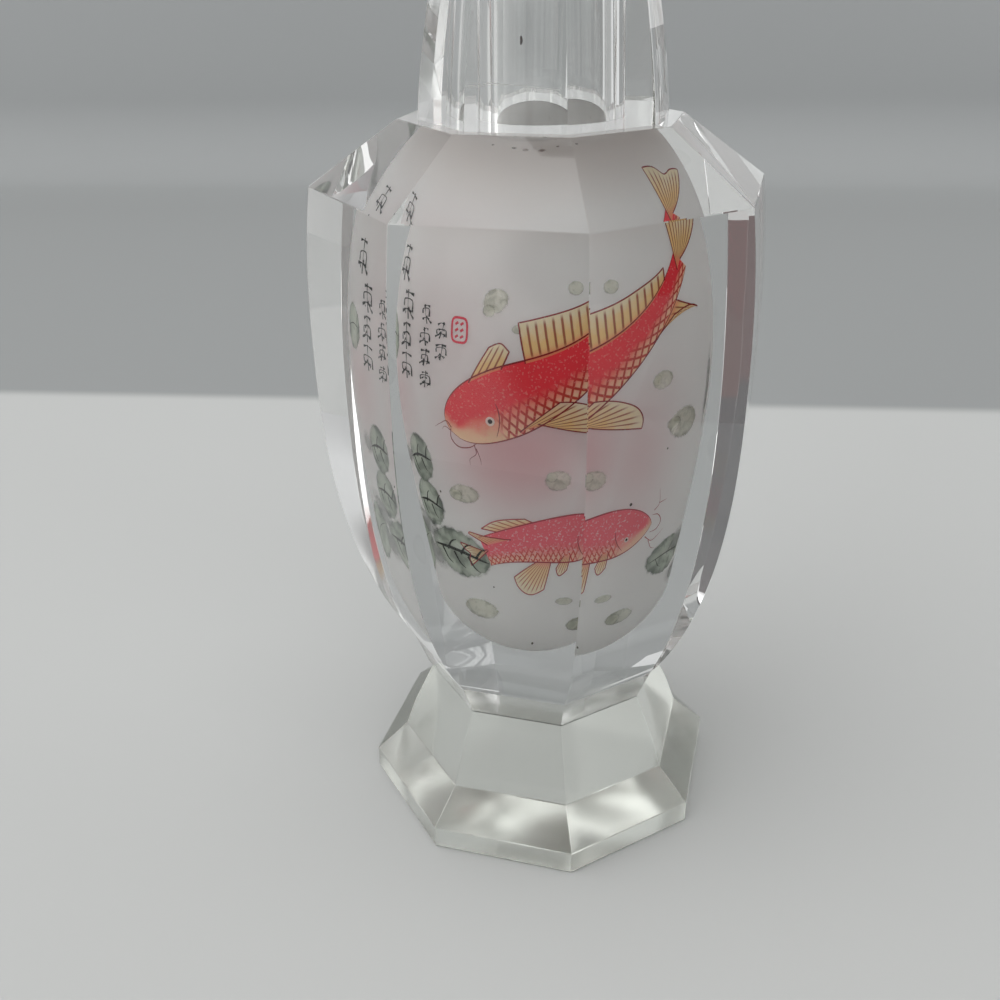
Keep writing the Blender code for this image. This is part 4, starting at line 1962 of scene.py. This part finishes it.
@dataclass(frozen=True)
class Studio:
    """The pale paper that runs back and turns up into a low wall, and the light over it, in metres."""

    heading: float = 10.6
    behind: float = 0.70
    bend: float = 0.06
    wall_height: float = 0.142
    front: float = 0.19
    wide: float = 0.66
    narrow: tuple[float, float] = (0.24, 0.46)
    apron: tuple[tuple[float, float], ...] = ((0.10, -0.215), (0.74, -0.27), (0.18, -0.06), (0.74, -0.115))
    gap: float = 0.0003
    floor: Colour = (0.503, 0.511, 0.503)
    wall: Colour = (0.29, 0.30, 0.30)
    # Painted light: the paper turns paler up the wall, where less light falls.
    wall_top_painted_light: Colour = (0.375, 0.388, 0.393)
    change: float = 0.212
    overhead: SoftBox = SoftBox()

    def build(self, aim: Vector) -> None:
        """Lays the floor, hangs the light and sets how far light is followed.

        Args:
            aim: The point that the light faces.
        """
        self.sweep()
        self.overhead.build(aim)
        scene = bpy.context.scene
        scene.view_settings.view_transform = "Standard"
        scene.cycles.max_bounces = 32
        scene.cycles.transmission_bounces = 24
        scene.cycles.diffuse_bounces = 10
        scene.cycles.glossy_bounces = 24
        scene.cycles.transparent_max_bounces = 24

    def sweep(self) -> None:
        """One sheet: the floor runs back, bends up in a quarter circle and goes on as the wall.

        It ends not far in front and at the right, where an apron carries the floor on to the front right.
        Its flat place is the distance back along the floor and on up the wall.
        """
        angle = np.linspace(0, math.pi / 2, 17)
        start = self.behind - self.bend
        floor = np.array([-self.front, -0.1, 0.0, 0.15, 0.2])
        back = np.concatenate([floor, start + self.bend * np.sin(angle), [self.behind]])
        up = np.concatenate([np.zeros(5), self.bend * (1 - np.cos(angle)), [self.wall_height]])
        distance = np.concatenate([floor, start + self.bend * angle, [start + self.wall_height]])
        right = np.interp(back, [0.2, start], self.narrow)
        sides = np.stack([np.full(len(back), -self.wide), right], -1)
        level = np.stack(np.broadcast_arrays(sides, back[:, None], up[:, None] - self.gap), -1)
        turned = np.array(Matrix.Rotation(math.radians(self.heading), 3, "Z"))
        flat = np.stack(np.broadcast_arrays(sides * 0.0, distance[:, None]), -1)
        paper = self.paper()
        Sheet.of_grid(level @ turned.T, flat).make("studio_sweep", paper)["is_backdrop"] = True
        apron = np.array([[(x, y, -2 * self.gap) for x, y in self.apron[i : i + 2]] for i in (0, 2)])
        Sheet.of_grid(apron, np.zeros((2, 2, 2))).make("studio_apron", paper)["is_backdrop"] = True

    def paper(self) -> bpy.types.Material:
        """Matt paper that turns from the floor's colour to the wall's along a soft line behind the vase, and
        paler towards the top of the wall as painted light for the upright part, which gets less light.

        Returns:
            The paper.
        """
        recipe = Recipe.material("studio_paper")
        _, back, _ = recipe.parts("UV")
        # Painted light: paler from the far floor up the wall, to make up for the upright part getting less
        # light.
        wall = recipe.blend(back.rise(0.55, 0.80), self.wall, self.wall_top_painted_light)
        colour = recipe.blend(back.rise(self.change - 0.004, self.change + 0.006), self.floor, wall)
        matt = recipe.node("ShaderNodeBsdfPrincipled", {}, {"Base Color": colour, "Roughness": 0.8})
        return recipe.finish(matt)


# --- Assembly -------------------------------------------------------------------------------------


def ride(piece: bpy.types.Object, replaces: str | None = None) -> None:
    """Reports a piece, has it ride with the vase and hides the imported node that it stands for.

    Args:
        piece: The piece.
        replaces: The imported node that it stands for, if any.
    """
    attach(piece, "root")
    if replaces:
        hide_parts(replaces)
    LOG.info("%s: %d faces", piece.name, len(piece.data.polygons))


def corners(box: tuple[Vector, Vector]) -> list[list[float]]:
    """A box's two corners as plain numbers."""
    return [list(corner) for corner in box]


def main() -> None:
    """Builds the vase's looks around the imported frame."""
    logging.basicConfig(level=logging.INFO, format="%(message)s")
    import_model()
    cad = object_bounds()
    wall = CavityWall()
    ride(Foot().build(GREEN_CRYSTAL), "foot")
    ride(Body().build(CLEAR_CRYSTAL, wall), "body")
    ride(Neck().build(CLEAR_CRYSTAL, wall.mouth_radius), "neck")
    ride(FrostedWall(Frost()).build(wall))
    painted = Pond().build(wall) + WearAndGlints().build(wall)
    painted += RED_CARP.build(wall, RED_WHISKERS) + PINK_CARP.build(wall, PINK_WHISKERS)
    for piece in painted:
        ride(piece)
    Studio().build((cad[0] + cad[1]) / 2)
    Surround().build()
    Viewpoint().build()


if __name__ == "__main__":
    main()
